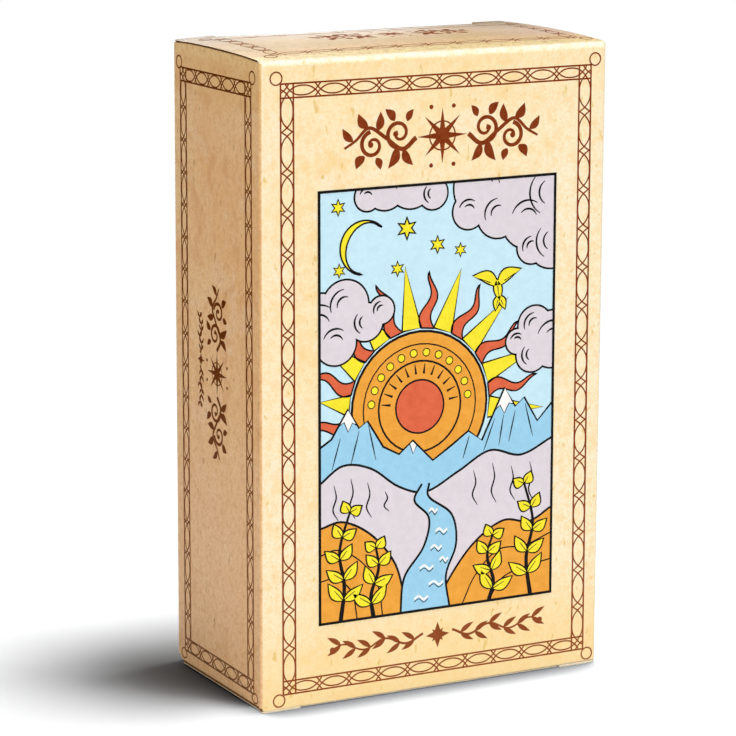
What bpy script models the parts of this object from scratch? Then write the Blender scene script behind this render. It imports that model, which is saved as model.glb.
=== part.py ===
"""A boxed oracle deck: a reverse-tuck folding carton, closed, with its cards and a guide booklet inside.

Metres, +Z up, front towards -Y, the closed carton standing on its bottom lid at z = 0.
The carton is one sheet of printed board folded along creases. Each panel and flap of the sheet is
an object of its own, and every crease is shared: each of its two panels carries half of the bend.
"""

from math import cos, pi, sin

import bpy
from mathutils import Matrix, Vector

# Cards
CARD_WIDTH = 0.0700
CARD_HEIGHT = 0.1200
CARD_THICKNESS = 0.00035
CARD_CORNER_RADIUS = 0.0030
CARD_AIR = 0.00002
CORNER_STEPS = 4
TRUMP_COUNT = 22
SUITS = ("wands", "cups", "swords", "coins")
COURTS = ("page", "knight", "queen", "king")
PIPS_PER_SUIT = 10

# Guide booklet
BOOKLET_MARGIN = 0.0010
BOOKLET_THICKNESS = 0.0036
COVER_PAPER = 0.00025
PAGE_SLACK = 0.00006
PAGE_INSET = 0.0006
BOOKLET_GAP = 0.0003

# Board of the carton and its creases
BOARD = 0.00045
FOLD_RADIUS = 0.0010
FOLD_STEPS = 3
CREASE_SLIT = 0.00012
LAYER_GAP = 0.0003
PIVOT_INSET = 0.215 * FOLD_RADIUS

# Room around the contents
SIDE_ROOM = 0.00165
HEAD_ROOM = 0.0013
FOOT_ROOM = 0.0003
PACK_ROOM = 0.00093
TUCK_ROOM = 0.0010

# Lids, tucks, dust flaps and the glue seam
LID_INSET = 0.00025
LID_RELIEF = 0.0009
RELIEF_LENGTH = 0.0022
SHOULDER = 0.0073
SHOULDER_CHAMFER = 0.0007
SLIT = 0.0004
EDGE_SETBACK = 0.0001
TUCK_LENGTH = 0.0148
TUCK_CORNER = 0.0090
TUCK_CORNER_STEPS = 6
DUST_LENGTH = 0.0240
DUST_SETBACK = 0.0022
DUST_SLOPE = 0.5
DUST_SHOULDER_SETBACK = 0.0013
DUST_SHOULDER_ROOM = 0.0008
DUST_TUCK_ROOM = 0.0015
DUST_END_TAPER = 0.0012
DUST_CORNER = 0.0030
NOTCH_ROOM = 0.00015
GLUE_LINE = 0.0001
GLUE_FLAP_WIDTH = 0.0110
GLUE_FLAP_TAPER = 0.0030
GLUE_FLAP_END = 0.0040
SEAM_SETBACK = 0.0003

# Sizes that follow
CARD_COUNT = TRUMP_COUNT + len(SUITS) * (len(COURTS) + PIPS_PER_SUIT)
CARD_PITCH = CARD_THICKNESS + CARD_AIR
STACK_DEPTH = CARD_COUNT * CARD_PITCH - CARD_AIR
CONTENT_DEPTH = STACK_DEPTH + BOOKLET_GAP + BOOKLET_THICKNESS
CLOSURE = 2 * BOARD + LAYER_GAP
BOX_WIDTH = CARD_WIDTH + 2 * (SIDE_ROOM + BOARD)
BOX_DEPTH = CONTENT_DEPTH + 2 * (PACK_ROOM + TUCK_ROOM + 2 * BOARD)
BOX_HEIGHT = CARD_HEIGHT + HEAD_ROOM + FOOT_ROOM + 2 * CLOSURE
HALF_WIDTH = BOX_WIDTH / 2
HALF_DEPTH = BOX_DEPTH / 2
FRONT_CREASE = -HALF_DEPTH + FOLD_RADIUS
LAYER_TOP = BOX_HEIGHT - BOARD - LAYER_GAP
LAYER_BOTTOM = BOARD + LAYER_GAP
TUCK_PLANE = HALF_DEPTH - BOARD - TUCK_ROOM
SLIT_OUTER = HALF_WIDTH - SHOULDER
TUCK_HALF_WIDTH = SLIT_OUTER - SLIT
GLUE_PLANE = HALF_WIDTH - BOARD - GLUE_LINE
DUST_FRONT = -HALF_DEPTH + DUST_SETBACK
DUST_BACK = HALF_DEPTH - DUST_SHOULDER_SETBACK
DUST_WAIST = TUCK_PLANE - BOARD - DUST_TUCK_ROOM
FLOOR_OF_CARDS = CLOSURE + FOOT_ROOM

# Where the printed side of a panel looks: its own right, its own up and its outward direction
FACING = {
    "front": (Vector((1, 0, 0)), Vector((0, 0, 1)), Vector((0, -1, 0))),
    "back": (Vector((-1, 0, 0)), Vector((0, 0, 1)), Vector((0, 1, 0))),
    "left": (Vector((0, -1, 0)), Vector((0, 0, 1)), Vector((-1, 0, 0))),
    "right": (Vector((0, 1, 0)), Vector((0, 0, 1)), Vector((1, 0, 0))),
    "top": (Vector((1, 0, 0)), Vector((0, 1, 0)), Vector((0, 0, 1))),
}

# Turning the box half round about the left-right line through its middle swaps its two closures
HALF_TURN = (
    Matrix.Translation((0, 0, BOX_HEIGHT / 2)) @ Matrix.Rotation(pi, 4, "X")
    @ Matrix.Translation((0, 0, -BOX_HEIGHT / 2))
)


def material(name, colour, roughness):
    """A Principled material of one colour."""
    made = bpy.data.materials.new(name)
    made.use_nodes = True
    shader = made.node_tree.nodes["Principled BSDF"]
    shader.inputs["Base Color"].default_value = (*colour, 1)
    shader.inputs["Roughness"].default_value = roughness
    shader.inputs["Metallic"].default_value = 0
    return made


def add_object(name, points, faces, look, origin=Vector((0, 0, 0))):
    """A closed mesh as an object whose origin is the given point, all in box coordinates."""
    mesh = bpy.data.meshes.new(name)
    mesh.from_pydata([point - origin for point in points], [], faces)
    mesh.materials.append(look)
    made = bpy.data.objects.new(name, mesh)
    made.location = origin
    bpy.context.collection.objects.link(made)
    return made


def folded_panel(name, facing, plane, outline, folds, look, pivot=Vector((0, 0, 0)), turned=False):
    """A board panel. The outline is its flat printed face in the panel's own right and up, counter-clockwise,
    on the plane at that distance outward. Each fold is the number of an outline edge: there the board rolls
    back from the printed side through half a right angle, less half of the crease's slit."""
    right, up, out = FACING[facing]
    place = HALF_TURN if turned else Matrix.Identity(4)
    sheet = [(Vector(point), 0.0, Vector((0, 0))) for point in outline]
    faces = [tuple(range(len(outline)))]
    turn = pi / 4 - CREASE_SLIT / 2 / FOLD_RADIUS
    for edge in folds:
        ends = (edge, (edge + 1) % len(outline))
        along = Vector(outline[ends[1]]) - Vector(outline[ends[0]])
        away = Vector((along.y, -along.x)).normalized()
        last = ends
        for step in range(1, FOLD_STEPS + 1):
            first = len(sheet)
            for end in ends:
                sheet.append((Vector(outline[end]), turn * step / FOLD_STEPS, away))
            faces.append((last[1], last[0], first, first + 1))
            last = (first, first + 1)

    def layer(radius):
        for flat, angle, away in sheet:
            spot = flat + away * radius * sin(angle)
            height = plane - FOLD_RADIUS + radius * cos(angle)
            yield place @ (right * spot.x + up * spot.y + out * height)

    count = len(sheet)
    directed = {(face[i - 1], face[i]) for face in faces for i in range(len(face))}
    rim = sorted(pair for pair in directed if (pair[1], pair[0]) not in directed)
    closed = [tuple(face) for face in faces]
    closed += [tuple(corner + count for corner in reversed(face)) for face in faces]
    closed += [(end, start, start + count, end + count) for start, end in rim]
    points = [*layer(FOLD_RADIUS), *layer(FOLD_RADIUS - BOARD)]
    return add_object(name, points, closed, look, place @ pivot)


def rounded(corners, radii, steps):
    """The corners of an outline, each one with a radius above 0 replaced by an arc."""
    made = []
    for i, (corner, radius) in enumerate(zip(corners, radii)):
        here = Vector(corner)
        before = (Vector(corners[i - 1]) - here).normalized()
        after = (Vector(corners[(i + 1) % len(corners)]) - here).normalized()
        if radius <= 0:
            made.append(here)
            continue
        half = before.angle(after) / 2
        centre = here + (before + after).normalized() * (radius / sin(half))
        start = here + before * (radius * cos(half) / sin(half)) - centre
        sweep = pi - 2 * half
        for step in range(steps + 1):
            made.append(centre + Matrix.Rotation(sweep * step / steps, 2) @ start)
    return made


def mirrored(outline):
    """The outline as seen in a mirror, still counter-clockwise."""
    return [(-x, y) for x, y in reversed(outline)]


def slab(name, outline, low, high, look):
    """An outline in x and z, counter-clockwise from the front, made solid from y = low to y = high."""
    count = len(outline)
    points = [Vector((x, y, z)) for y in (low, high) for x, z in outline]
    faces = [tuple(range(count)), tuple(reversed(range(count, 2 * count)))]
    faces += [(i, i + count, (i + 1) % count + count, (i + 1) % count) for i in range(count)]
    return add_object(name, points, faces, look)


def rectangle(half_width, low, high):
    """Corners of an upright rectangle centred left to right, counter-clockwise."""
    return [(-half_width, low), (half_width, low), (half_width, high), (-half_width, high)]


def walls(look):
    """The four walls of the carton and the flap that is glued inside the right one."""
    inner = HALF_WIDTH - FOLD_RADIUS
    depth = HALF_DEPTH - FOLD_RADIUS
    crease = BOX_HEIGHT - FOLD_RADIUS
    side_crease = LAYER_TOP - FOLD_RADIUS
    folded_panel(
        "front_panel", "front", HALF_DEPTH, rectangle(inner, LAYER_BOTTOM, crease), (1, 2, 3), look)
    seam = GLUE_PLANE - FOLD_RADIUS
    back = [(-seam, FOLD_RADIUS), (inner, FOLD_RADIUS), (inner, LAYER_TOP), (-seam, LAYER_TOP)]
    folded_panel("back_panel", "back", HALF_DEPTH, back, (0, 1, 3), look)

    def side(front, rear):
        """A side wall in its depth and height. Ears at its ends stand past the dust flap creases."""
        low = BOX_HEIGHT - side_crease
        near = DUST_FRONT - NOTCH_ROOM
        far = DUST_BACK + NOTCH_ROOM
        return [
            (front, LAYER_BOTTOM), (-far, LAYER_BOTTOM), (-far, low), (-near, low), (-near, LAYER_BOTTOM),
            (rear, LAYER_BOTTOM), (rear, LAYER_TOP), (far, LAYER_TOP), (far, side_crease),
            (near, side_crease), (near, LAYER_TOP), (front, LAYER_TOP),
        ]

    cut = HALF_DEPTH - SEAM_SETBACK
    folded_panel("right_side_panel", "right", HALF_WIDTH, side(-depth, cut), (2, 8, 11), look)
    left = mirrored(side(-depth, depth))
    folded_panel("left_side_panel", "left", HALF_WIDTH, left, (2, 8, 5, 11), look)
    near = HALF_DEPTH - GLUE_FLAP_WIDTH
    flap = [
        (near, GLUE_FLAP_END + GLUE_FLAP_TAPER), (depth, GLUE_FLAP_END),
        (depth, BOX_HEIGHT - GLUE_FLAP_END), (near, BOX_HEIGHT - GLUE_FLAP_END - GLUE_FLAP_TAPER),
    ]
    folded_panel("glue_flap", "right", GLUE_PLANE, flap, (1,), look)


def closure(end, turned, look):
    """A lid with slit-lock shoulders, its tuck flap and the two dust flaps under it."""
    lid_pivot = Vector((0, -HALF_DEPTH + PIVOT_INSET, BOX_HEIGHT - PIVOT_INSET))
    half = HALF_WIDTH - LID_INSET
    rear = HALF_DEPTH - EDGE_SETBACK
    relief = HALF_WIDTH - LID_RELIEF
    tuck_crease = TUCK_PLANE - FOLD_RADIUS
    right_edge = [
        (relief, FRONT_CREASE), (half, FRONT_CREASE + RELIEF_LENGTH), (half, rear - SHOULDER_CHAMFER),
        (half - SHOULDER_CHAMFER, rear), (SLIT_OUTER, rear), (SLIT_OUTER, tuck_crease),
        (TUCK_HALF_WIDTH, tuck_crease),
    ]
    outline = right_edge + mirrored(right_edge)
    creases = (len(right_edge) - 1, len(outline) - 1)
    folded_panel(f"{end}_lid", "top", BOX_HEIGHT, outline, creases, look, lid_pivot, turned)

    tuck_pivot = Vector((0, tuck_crease, BOX_HEIGHT - FOLD_RADIUS))
    tip = BOX_HEIGHT - TUCK_LENGTH
    corners = rectangle(TUCK_HALF_WIDTH, tip, BOX_HEIGHT - FOLD_RADIUS)
    tuck = rounded(corners, (TUCK_CORNER, TUCK_CORNER, 0, 0), TUCK_CORNER_STEPS)
    folded_panel(
        f"{end}_tuck_flap", "back", TUCK_PLANE, tuck, (len(tuck) - 2,), look, tuck_pivot, turned)

    reach = HALF_WIDTH - DUST_LENGTH
    root = HALF_WIDTH - FOLD_RADIUS
    step = SLIT_OUTER + DUST_SHOULDER_ROOM
    front_of_tip = DUST_FRONT + DUST_SLOPE * (DUST_LENGTH - FOLD_RADIUS)
    corners = [
        (root, DUST_FRONT), (root, DUST_BACK), (step, DUST_BACK), (step - DUST_SHOULDER_ROOM, DUST_WAIST),
        (reach, DUST_WAIST - DUST_END_TAPER), (reach, front_of_tip),
    ]
    dust = [tuple(spot) for spot in rounded(corners, (0, 0, 0, 0, DUST_CORNER, DUST_CORNER), CORNER_STEPS)]
    for side, outline, crease, sign in (
        ("left", mirrored(dust), len(dust) - 2, -1),
        ("right", dust, 0, 1),
    ):
        pivot = Vector((sign * (HALF_WIDTH - PIVOT_INSET), 0, LAYER_TOP - PIVOT_INSET))
        folded_panel(
            f"{end}_{side}_dust_flap", "top", LAYER_TOP, outline, (crease,), look, pivot, turned)


def cards(look):
    """The deck standing on its short edges, faces to the front: single trumps and court cards,
    and the ten pip cards of each suit squared up as one packet."""
    corners = rectangle(CARD_WIDTH / 2, FLOOR_OF_CARDS, FLOOR_OF_CARDS + CARD_HEIGHT)
    outline = rounded(corners, (CARD_CORNER_RADIUS,) * 4, CORNER_STEPS)
    order = [(f"trump_card_{number:02d}", 1) for number in range(TRUMP_COUNT)]
    for suit in SUITS:
        order.append((f"{suit}_ace_to_ten", PIPS_PER_SUIT))
        order += [(f"{suit}_{court}", 1) for court in COURTS]
    front = -CONTENT_DEPTH / 2 + BOOKLET_THICKNESS + BOOKLET_GAP
    for name, count in order:
        slab(name, outline, front, front + count * CARD_PITCH - CARD_AIR, look)
        front += count * CARD_PITCH


def booklet(cover_look, page_look):
    """A square-backed guide booklet in front of the deck: a cover folded round a glued block of pages."""
    front = -CONTENT_DEPTH / 2
    back = front + BOOKLET_THICKNESS
    half = CARD_WIDTH / 2 - BOOKLET_MARGIN
    low = FLOOR_OF_CARDS
    high = low + CARD_HEIGHT - 2 * BOOKLET_MARGIN
    wrap = [
        (-half, front), (half, front), (half, front + COVER_PAPER), (-half + COVER_PAPER, front + COVER_PAPER),
        (-half + COVER_PAPER, back - COVER_PAPER), (half, back - COVER_PAPER), (half, back), (-half, back),
    ]
    count = len(wrap)
    points = [Vector((x, y, z)) for z in (low, high) for x, y in wrap]
    faces = [tuple(reversed(range(count))), tuple(range(count, 2 * count))]
    faces += [(i, (i + 1) % count, (i + 1) % count + count, i + count) for i in range(count)]
    add_object("booklet_cover", points, faces, cover_look)
    skin = COVER_PAPER + PAGE_SLACK
    pages = [
        (-half + skin, low + PAGE_INSET), (half - PAGE_INSET, low + PAGE_INSET),
        (half - PAGE_INSET, high - PAGE_INSET), (-half + skin, high - PAGE_INSET),
    ]
    slab("booklet_pages", pages, front + skin, back - skin, page_look)


for old in list(bpy.data.objects):
    bpy.data.objects.remove(old)
bpy.context.scene.unit_settings.scale_length = 1

printed_board = material("printed_board", (0.93, 0.76, 0.46), 0.45)
card_stock = material("card_stock", (0.90, 0.88, 0.83), 0.5)
cover_paper = material("cover_paper", (0.85, 0.72, 0.47), 0.55)
page_paper = material("page_paper", (0.92, 0.90, 0.86), 0.8)
walls(printed_board)
closure("top", False, printed_board)
closure("bottom", True, printed_board)
booklet(cover_paper, page_paper)
cards(card_stock)
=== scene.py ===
"""Looks of a boxed oracle deck: a reverse-tuck carton of printed board, its guide booklet and 78 cards.
Sizes are in metres, and those of the print in millimetres."""

from collections import namedtuple

import bpy
import numpy as np
from mathutils import Matrix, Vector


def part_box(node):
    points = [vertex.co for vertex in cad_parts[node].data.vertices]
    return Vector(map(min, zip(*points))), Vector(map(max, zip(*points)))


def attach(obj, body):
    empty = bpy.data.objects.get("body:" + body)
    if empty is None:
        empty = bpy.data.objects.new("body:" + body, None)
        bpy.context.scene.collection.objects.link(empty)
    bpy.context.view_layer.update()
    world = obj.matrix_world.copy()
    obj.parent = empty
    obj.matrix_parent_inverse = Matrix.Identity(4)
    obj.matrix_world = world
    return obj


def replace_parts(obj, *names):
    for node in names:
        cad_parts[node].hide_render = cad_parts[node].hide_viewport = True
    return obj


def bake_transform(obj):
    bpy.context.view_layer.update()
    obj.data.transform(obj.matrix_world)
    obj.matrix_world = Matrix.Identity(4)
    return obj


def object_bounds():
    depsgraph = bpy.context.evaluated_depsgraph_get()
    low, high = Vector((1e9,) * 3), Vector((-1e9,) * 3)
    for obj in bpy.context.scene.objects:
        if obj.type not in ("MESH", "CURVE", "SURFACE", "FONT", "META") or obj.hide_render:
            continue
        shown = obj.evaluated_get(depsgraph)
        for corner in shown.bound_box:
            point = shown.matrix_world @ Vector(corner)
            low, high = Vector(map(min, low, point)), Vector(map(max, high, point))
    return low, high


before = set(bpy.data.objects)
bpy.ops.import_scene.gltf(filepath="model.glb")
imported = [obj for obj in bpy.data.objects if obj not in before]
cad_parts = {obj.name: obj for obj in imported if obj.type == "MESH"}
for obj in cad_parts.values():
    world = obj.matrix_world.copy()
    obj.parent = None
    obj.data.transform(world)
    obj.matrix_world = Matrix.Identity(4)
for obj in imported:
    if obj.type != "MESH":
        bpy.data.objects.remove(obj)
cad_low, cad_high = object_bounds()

# The walls: four panels of one sheet of white carton board, printed outside with a mottled
# parchment tint under a satin varnish and left bare inside. Half a crease at each upright edge
# joins a wall to its neighbour, and the right wall is glued over a flap of the back wall. Parts of
# the tint are painted light and shade: the side walls' deeper tan, paler bands on the top creases
# and other washes, as marked where each print is made.

HALF_WIDTH, HALF_DEPTH, HEIGHT = cad_high.x, cad_high.y, cad_high.z
BOARD = 0.00045
FOLD, LID_FOLD = 0.0009, 0.0014
DUST_FOLD = {"top": 0.00030, "bottom": 0.00050}
DUST_PLANE = HEIGHT - 0.00050
DUST_FRONT, DUST_BACK = -HALF_DEPTH + 0.0022, HALF_DEPTH - 0.0013
FLAT_WIDE, FLAT_DEEP = HALF_WIDTH - FOLD, HALF_DEPTH - FOLD
SLIT_OUTER = HALF_WIDTH - 0.0082
SLIT_ENDS = SLIT_OUTER + np.array([-0.0003, 0.0009])
CUT_GAP, SHOULDER_GAP = 0.00010, 0.00048
EAR_SLOPE = 0.0005
HINGE_EAR = {"top": (-0.00010, 0.00002, 0.00002), "bottom": (-0.0015, -0.0010, -0.0002)}
NICK = 1e-5
GLUE_PLANE = HALF_WIDTH - BOARD - 0.0001
GLUE_WIDTH, GLUE_TAPER = 0.0110, (0.0070, 0.0040)
SEAM = HALF_DEPTH - 0.0003
FRONT_FOOT, FRONT_SLANT = 0.00018, 0.002
SWELL_BROAD, SWELL_ROUND = 0.00044, 0.00015
WALL_ROWS = 31


def printed(red, green, blue):
    """Linear colour with alpha from the red, green and blue of a print colour, 0 to 255."""
    share = np.array([red, green, blue]) / 255
    linear = np.where(share > 0.04045, ((share + 0.055) / 1.055) ** 2.4, share / 12.92)
    return (*linear, 1.0)


def emptied(owner):
    """The node tree of a new material or world, with nothing in it."""
    owner.use_nodes = True
    owner.node_tree.nodes.clear()
    return owner.node_tree


def feed(tree, sockets, values):
    """Gives sockets their values in turn: each is linked to another socket or set to a constant."""
    for socket, value in zip(sockets, values):
        if isinstance(value, bpy.types.NodeSocket):
            tree.links.new(value, socket)
        else:
            socket.default_value = value


def add_node(tree, kind, **inputs):
    """A shader node with inputs fed by name, written with underscores for blanks."""
    made = tree.nodes.new("ShaderNode" + kind)
    feed(tree, [made.inputs[name.replace("_", " ")] for name in inputs], inputs.values())
    return made


def shaded(tree, **inputs):
    """Ends a material's tree with a Principled shader and its output."""
    add_node(tree, "OutputMaterial", Surface=add_node(tree, "BsdfPrincipled", **inputs).outputs[0])


def spots(tree, scale, detail=3.0, rough=0.6, stretch=(1, 1, 1)):
    """Cloudy noise on the piece's own coordinates: scale in spots per metre, stretch scales each axis."""
    place = add_node(tree, "TexCoord").outputs["Object"]
    if stretch != (1, 1, 1):
        place = add_node(tree, "Mapping", Vector=place, Scale=stretch).outputs["Vector"]
    noise = add_node(tree, "TexNoise", Vector=place, Scale=scale, Detail=detail, Roughness=rough)
    return noise.outputs["Fac"]


def between(tree, value, low, high, to_low=0.0, to_high=1.0):
    """A smooth step of value from low to high, given as to_low to to_high."""
    step = add_node(tree, "MapRange")
    step.interpolation_type = "SMOOTHSTEP"
    feed(tree, step.inputs, (value, low, high, to_low, to_high))
    return step.outputs["Result"]


def reckon(tree, kind, *values):
    """One Math node of the given kind."""
    sum_node = add_node(tree, "Math")
    sum_node.operation = kind
    feed(tree, sum_node.inputs, values)
    return sum_node.outputs[0]


def tinted(tree, share, ground, tint):
    """The colour ground turned towards tint by share. Three numbers are a print colour."""
    mix = add_node(tree, "Mix")
    mix.data_type = "RGBA"
    colours = [colour if isinstance(colour, bpy.types.NodeSocket) or len(colour) == 4 else printed(*colour)
               for colour in (ground, tint)]
    feed(tree, [mix.inputs[number] for number in (0, 6, 7)], (share, *colours))
    return mix.outputs[2]


def mottled(tree, colour, *layers):
    """The colour turned to each layer's tone, by up to a share, where its noise goes from low to high."""
    for noise, low, high, share, tone in layers:
        colour = tinted(tree, between(tree, spots(tree, *noise), low, high, 0.0, share), colour, tone)
    return colour


def washed(tree, colour, washes, uneven=0.0):
    """The colour turned to each wash's tone, by up to a share, over a span of one axis. Uneven is the part
    of its span by which cloudy noise moves a wash."""
    for axis, start, stop, share, tone in washes:
        spot = add_node(tree, "TexCoord").outputs["Object"]
        place = add_node(tree, "SeparateXYZ", Vector=spot).outputs[axis]
        if uneven:
            drift = reckon(tree, "SUBTRACT", spots(tree, 90, 3), 0.5)
            place = reckon(tree, "ADD", place, reckon(tree, "MULTIPLY", drift, uneven * (stop - start)))
        colour = tinted(tree, between(tree, place, start, stop, 0.0, share), colour, tone)
    return colour


def raised(tree, height, distance, strength=0.5):
    """The normal of a bump that follows a height signal, distance metres deep."""
    return add_node(tree, "Bump", Strength=strength, Distance=distance, Height=height).outputs["Normal"]


def parchment(name, pale, deep, worn, fleck, gloss, washes=()):
    """Printed parchment: clouds 25 mm wide between pale and deep, 4 mm blotches, uneven washes of tone
    along an axis (some of them painted light and shade, as marked where they are given), a fine
    grain and upright flecks under 1 mm, all under a satin coat."""
    finish = bpy.data.materials.new(name)
    tree = emptied(finish)
    glow = np.minimum(np.array(pale) + (4, 8, 26), 255)
    colour = mottled(tree, pale, ((42, 5), 0.30, 0.68, 1.0, deep), ((88, 4), 0.50, 0.70, 0.60, glow),
                     ((160, 5), 0.50, 0.68, 0.60, worn), ((330, 4), 0.54, 0.74, 0.50, glow))
    colour = mottled(tree, washed(tree, colour, washes, 0.6),
                     ((700, 2, 0.5), 0.46, 0.68, 0.40, worn), ((2000, 2, 0.5), 0.42, 0.66, 0.40, worn),
                     ((860, 2, 0.5, (1, 1, 0.42)), 0.67, 0.75, 0.70, fleck))
    fibre = spots(tree, 2400, 3)
    shaded(tree, Base_Color=colour, Roughness=between(tree, fibre, 0.2, 0.8, 0.34, 0.46),
           Specular_IOR_Level=gloss, Coat_Weight=gloss / 3, Coat_Roughness=0.28,
           Normal=raised(tree, fibre, 0.000012))
    return finish


def bare_board(name, light, dark, rough, gloss=0.25):
    """Unprinted board: fibres drawn out along the panel, between a light and a dark tone."""
    finish = bpy.data.materials.new(name)
    tree = emptied(finish)
    fibre = spots(tree, 900, 4, 0.65, (1, 1, 0.3))
    colour = tinted(tree, between(tree, fibre, 0.3, 0.7), light, dark)
    shaded(tree, Base_Color=mottled(tree, colour, ((120, 3), 0.3, 0.7, 0.5, dark)), Roughness=rough,
           Specular_IOR_Level=gloss, Normal=raised(tree, fibre, 0.00002))
    return finish


# The wide walls' print and its washes: paler towards the right and towards the left end, deeper towards the
# foot (partly the print's own tone, partly painted shade), deeper below the top crease, a paler band on the
# crease that is a painted highlight, and at the crease's end the tone of the lid's front strip, which is
# painted light.
wide_print_and_highlight = parchment(
    "parchment_wide_walls", (254, 236, 198), (253, 231, 182), (251, 211, 141), (230, 190, 96), 0.32,
    ((0, 0.004, 0.037, 0.60, (254, 243, 212)), (0, -0.026, -0.037, 0.50, (255, 240, 210)),
     (2, 0.024, 0.002, 0.80, (252, 219, 152)), (2, HEIGHT - 0.020, HEIGHT - 0.004, 0.40, (252, 226, 172)),
     (2, HEIGHT - 0.0013, HEIGHT - 0.0007, 0.70, (255, 250, 232)),
     (2, HEIGHT - 0.00016, HEIGHT - 0.00001, 0.90, (255, 233, 182))))
# The side walls' print is a deeper, redder tan than the wide walls': painted shade. Of its washes, the paler
# one towards the foot is painted light, the second deepens the tone towards the top, and the paler band just
# under the lid is a painted highlight on the wall's top crease.
side_print_and_shade = parchment(
    "parchment_side_walls", (255, 212, 155), (251, 196, 131), (229, 163, 95), (182, 122, 60), 0.16,
    ((2, 0.078, 0.022, 0.60, (255, 208, 160)), (2, HEIGHT - 0.016, HEIGHT - 0.002, 0.55, (240, 186, 104)),
     (2, HEIGHT - 0.0036, HEIGHT - 0.0010, 0.70, (255, 216, 148))))
bare_inside = bare_board("board_inside", (238, 234, 226), (222, 216, 205), 0.75)
cut_board = bare_board("board_cut_edge", (250, 234, 204), (236, 214, 176), 0.85)


def add_piece(name, points, faces, finishes, kinds=0, smooth=False):
    """A mesh object at the origin from points and faces, with a finish and a shading flag per face."""
    mesh = bpy.data.meshes.new(name)
    mesh.from_pydata(points.tolist(), [], faces)
    for finish in finishes:
        mesh.materials.append(finish)
    mesh.polygons.foreach_set("material_index", np.broadcast_to(kinds, len(faces)).astype(np.int32))
    smooth = np.broadcast_to(smooth, len(faces)).astype(bool)
    mesh.polygons.foreach_set("use_smooth", smooth)
    edge_of_corner = np.empty(len(mesh.loops), np.int32)
    mesh.loops.foreach_get("edge_index", edge_of_corner)
    round_corner = np.repeat(smooth, [len(face) for face in faces])
    flat_edge, round_edge = np.zeros((2, len(mesh.edges)), bool)
    flat_edge[edge_of_corner[~round_corner]] = True
    round_edge[edge_of_corner[round_corner]] = True
    mesh.edges.foreach_set("use_edge_sharp", flat_edge & round_edge)
    mesh.update()
    piece = bpy.data.objects.new(name, mesh)
    bpy.context.collection.objects.link(piece)
    return piece


def board_piece(name, outer, inner, *finishes):
    """A closed sheet: the outer grid of points (rows, columns, 3), the inner grid turned over, and a flat
    rim that joins their borders. Columns run to the right and rows up, as seen from outside."""
    rows, columns = outer.shape[:2]
    count = rows * columns
    here = np.arange(count).reshape(rows, columns)
    cells = np.stack([here[:-1, :-1], here[:-1, 1:], here[1:, 1:], here[1:, :-1]], -1).reshape(-1, 4)
    border = np.concatenate([here[0], here[1:, -1], here[-1, -2::-1], here[-2::-1, 0]])
    rim = np.stack([border[:-1] + count, border[1:] + count, border[1:], border[:-1]], -1)
    faces = np.concatenate([cells, cells[:, ::-1] + count, rim])
    points = np.concatenate([outer.reshape(-1, 3), inner.reshape(-1, 3)])
    kinds = np.repeat([0, 1, 2], [len(cells), len(cells), len(rim)])
    return add_piece(name, points, faces.tolist(), finishes, kinds, kinds < 2)


def upright_wall(outward, plane, flat, folds, low, high, rows=WALL_ROWS):
    """Outer and inner grids of a wall. Across, half a crease leans from 45 degrees to 0, the flat follows
    and half a crease leans back, each point carried along its normal; up, straight from low to high."""
    outward = np.array(outward, float)
    across = np.cross((0, 0, 1), outward)
    lean = np.radians(np.linspace(0, 45, 9)[1:])
    before, after = (lean[::-1] if folds[0] else lean[:0]), (lean if folds[1] else lean[:0])
    turn = np.concatenate([-before, np.zeros(len(flat)), after])
    base = np.concatenate([np.full(len(before), flat[0]), flat, np.full(len(after), flat[-1])])
    normal = np.sin(turn)[:, None] * across + np.cos(turn)[:, None] * outward
    surface = (base[:, None] * across + (plane - FOLD) * outward + FOLD * normal)
    low, high = np.broadcast_to(low(base), base.shape), np.broadcast_to(high(base), base.shape)
    up = low + (high - low) * np.linspace(0, 1, rows)[:, None]
    outer = np.broadcast_to(surface, (rows, len(base), 3)).copy()
    outer[..., 2] = up
    return outer, outer - BOARD * normal


def wall(name, node, finish, *shape):
    """A wall of the carton that takes the place of one of its solid panels."""
    piece = board_piece(name, *upright_wall(*shape), finish, bare_inside, cut_board)
    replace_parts(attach(piece, "carton"), node)


def wide_columns(start, stop):
    """Columns of a wide wall, evenly spaced, with more at the ends of the slits."""
    return np.sort(np.concatenate([np.linspace(start, stop, 25), -SLIT_ENDS, SLIT_ENDS]))


def cut_short(u):
    """How far the back wall's cut edge stays below the top: more where the lid's shoulders lie over it."""
    return np.interp(np.abs(u), SLIT_ENDS, [CUT_GAP, SHOULDER_GAP])


wall("front_wall", "front_panel", wide_print_and_highlight, (0, -1, 0), HALF_DEPTH, wide_columns(-FLAT_WIDE, FLAT_WIDE),
     (True, True), lambda u: FRONT_FOOT + FRONT_SLANT * u, lambda u: u * 0 + HEIGHT - LID_FOLD)
wall("back_wall", "back_panel", wide_print_and_highlight, (0, 1, 0), HALF_DEPTH,
     wide_columns(FOLD - GLUE_PLANE, FLAT_WIDE), (True, True),
     lambda u: u * 0 + LID_FOLD, lambda u: HEIGHT - cut_short(u))


def swell(end, y):
    """How far a side wall's upper end bows up midway, under the crowned lid; the lower end is straight."""
    share = (y / HALF_DEPTH) ** 2
    return (end == "top") * (SWELL_BROAD * (1 - share ** 2) + SWELL_ROUND * (1 - share))


def side_top(u, end="top"):
    """Height of a side wall's end, as at the top: at the dust flap's crease it stops short by the crease, it
    bows up along its length, and the ear at the lid's hinge is shaped under the lid's crease."""
    hinge_ear = np.interp(u, [-FLAT_DEEP, -FLAT_DEEP + EAR_SLOPE, DUST_FRONT], HINGE_EAR[end])
    crest = DUST_PLANE + swell(end, u)
    at_flap = (u > DUST_FRONT) & (u < DUST_BACK)
    return np.where(at_flap, crest - DUST_FOLD[end], crest + np.where(u < 0, hinge_ear, 0))


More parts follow.
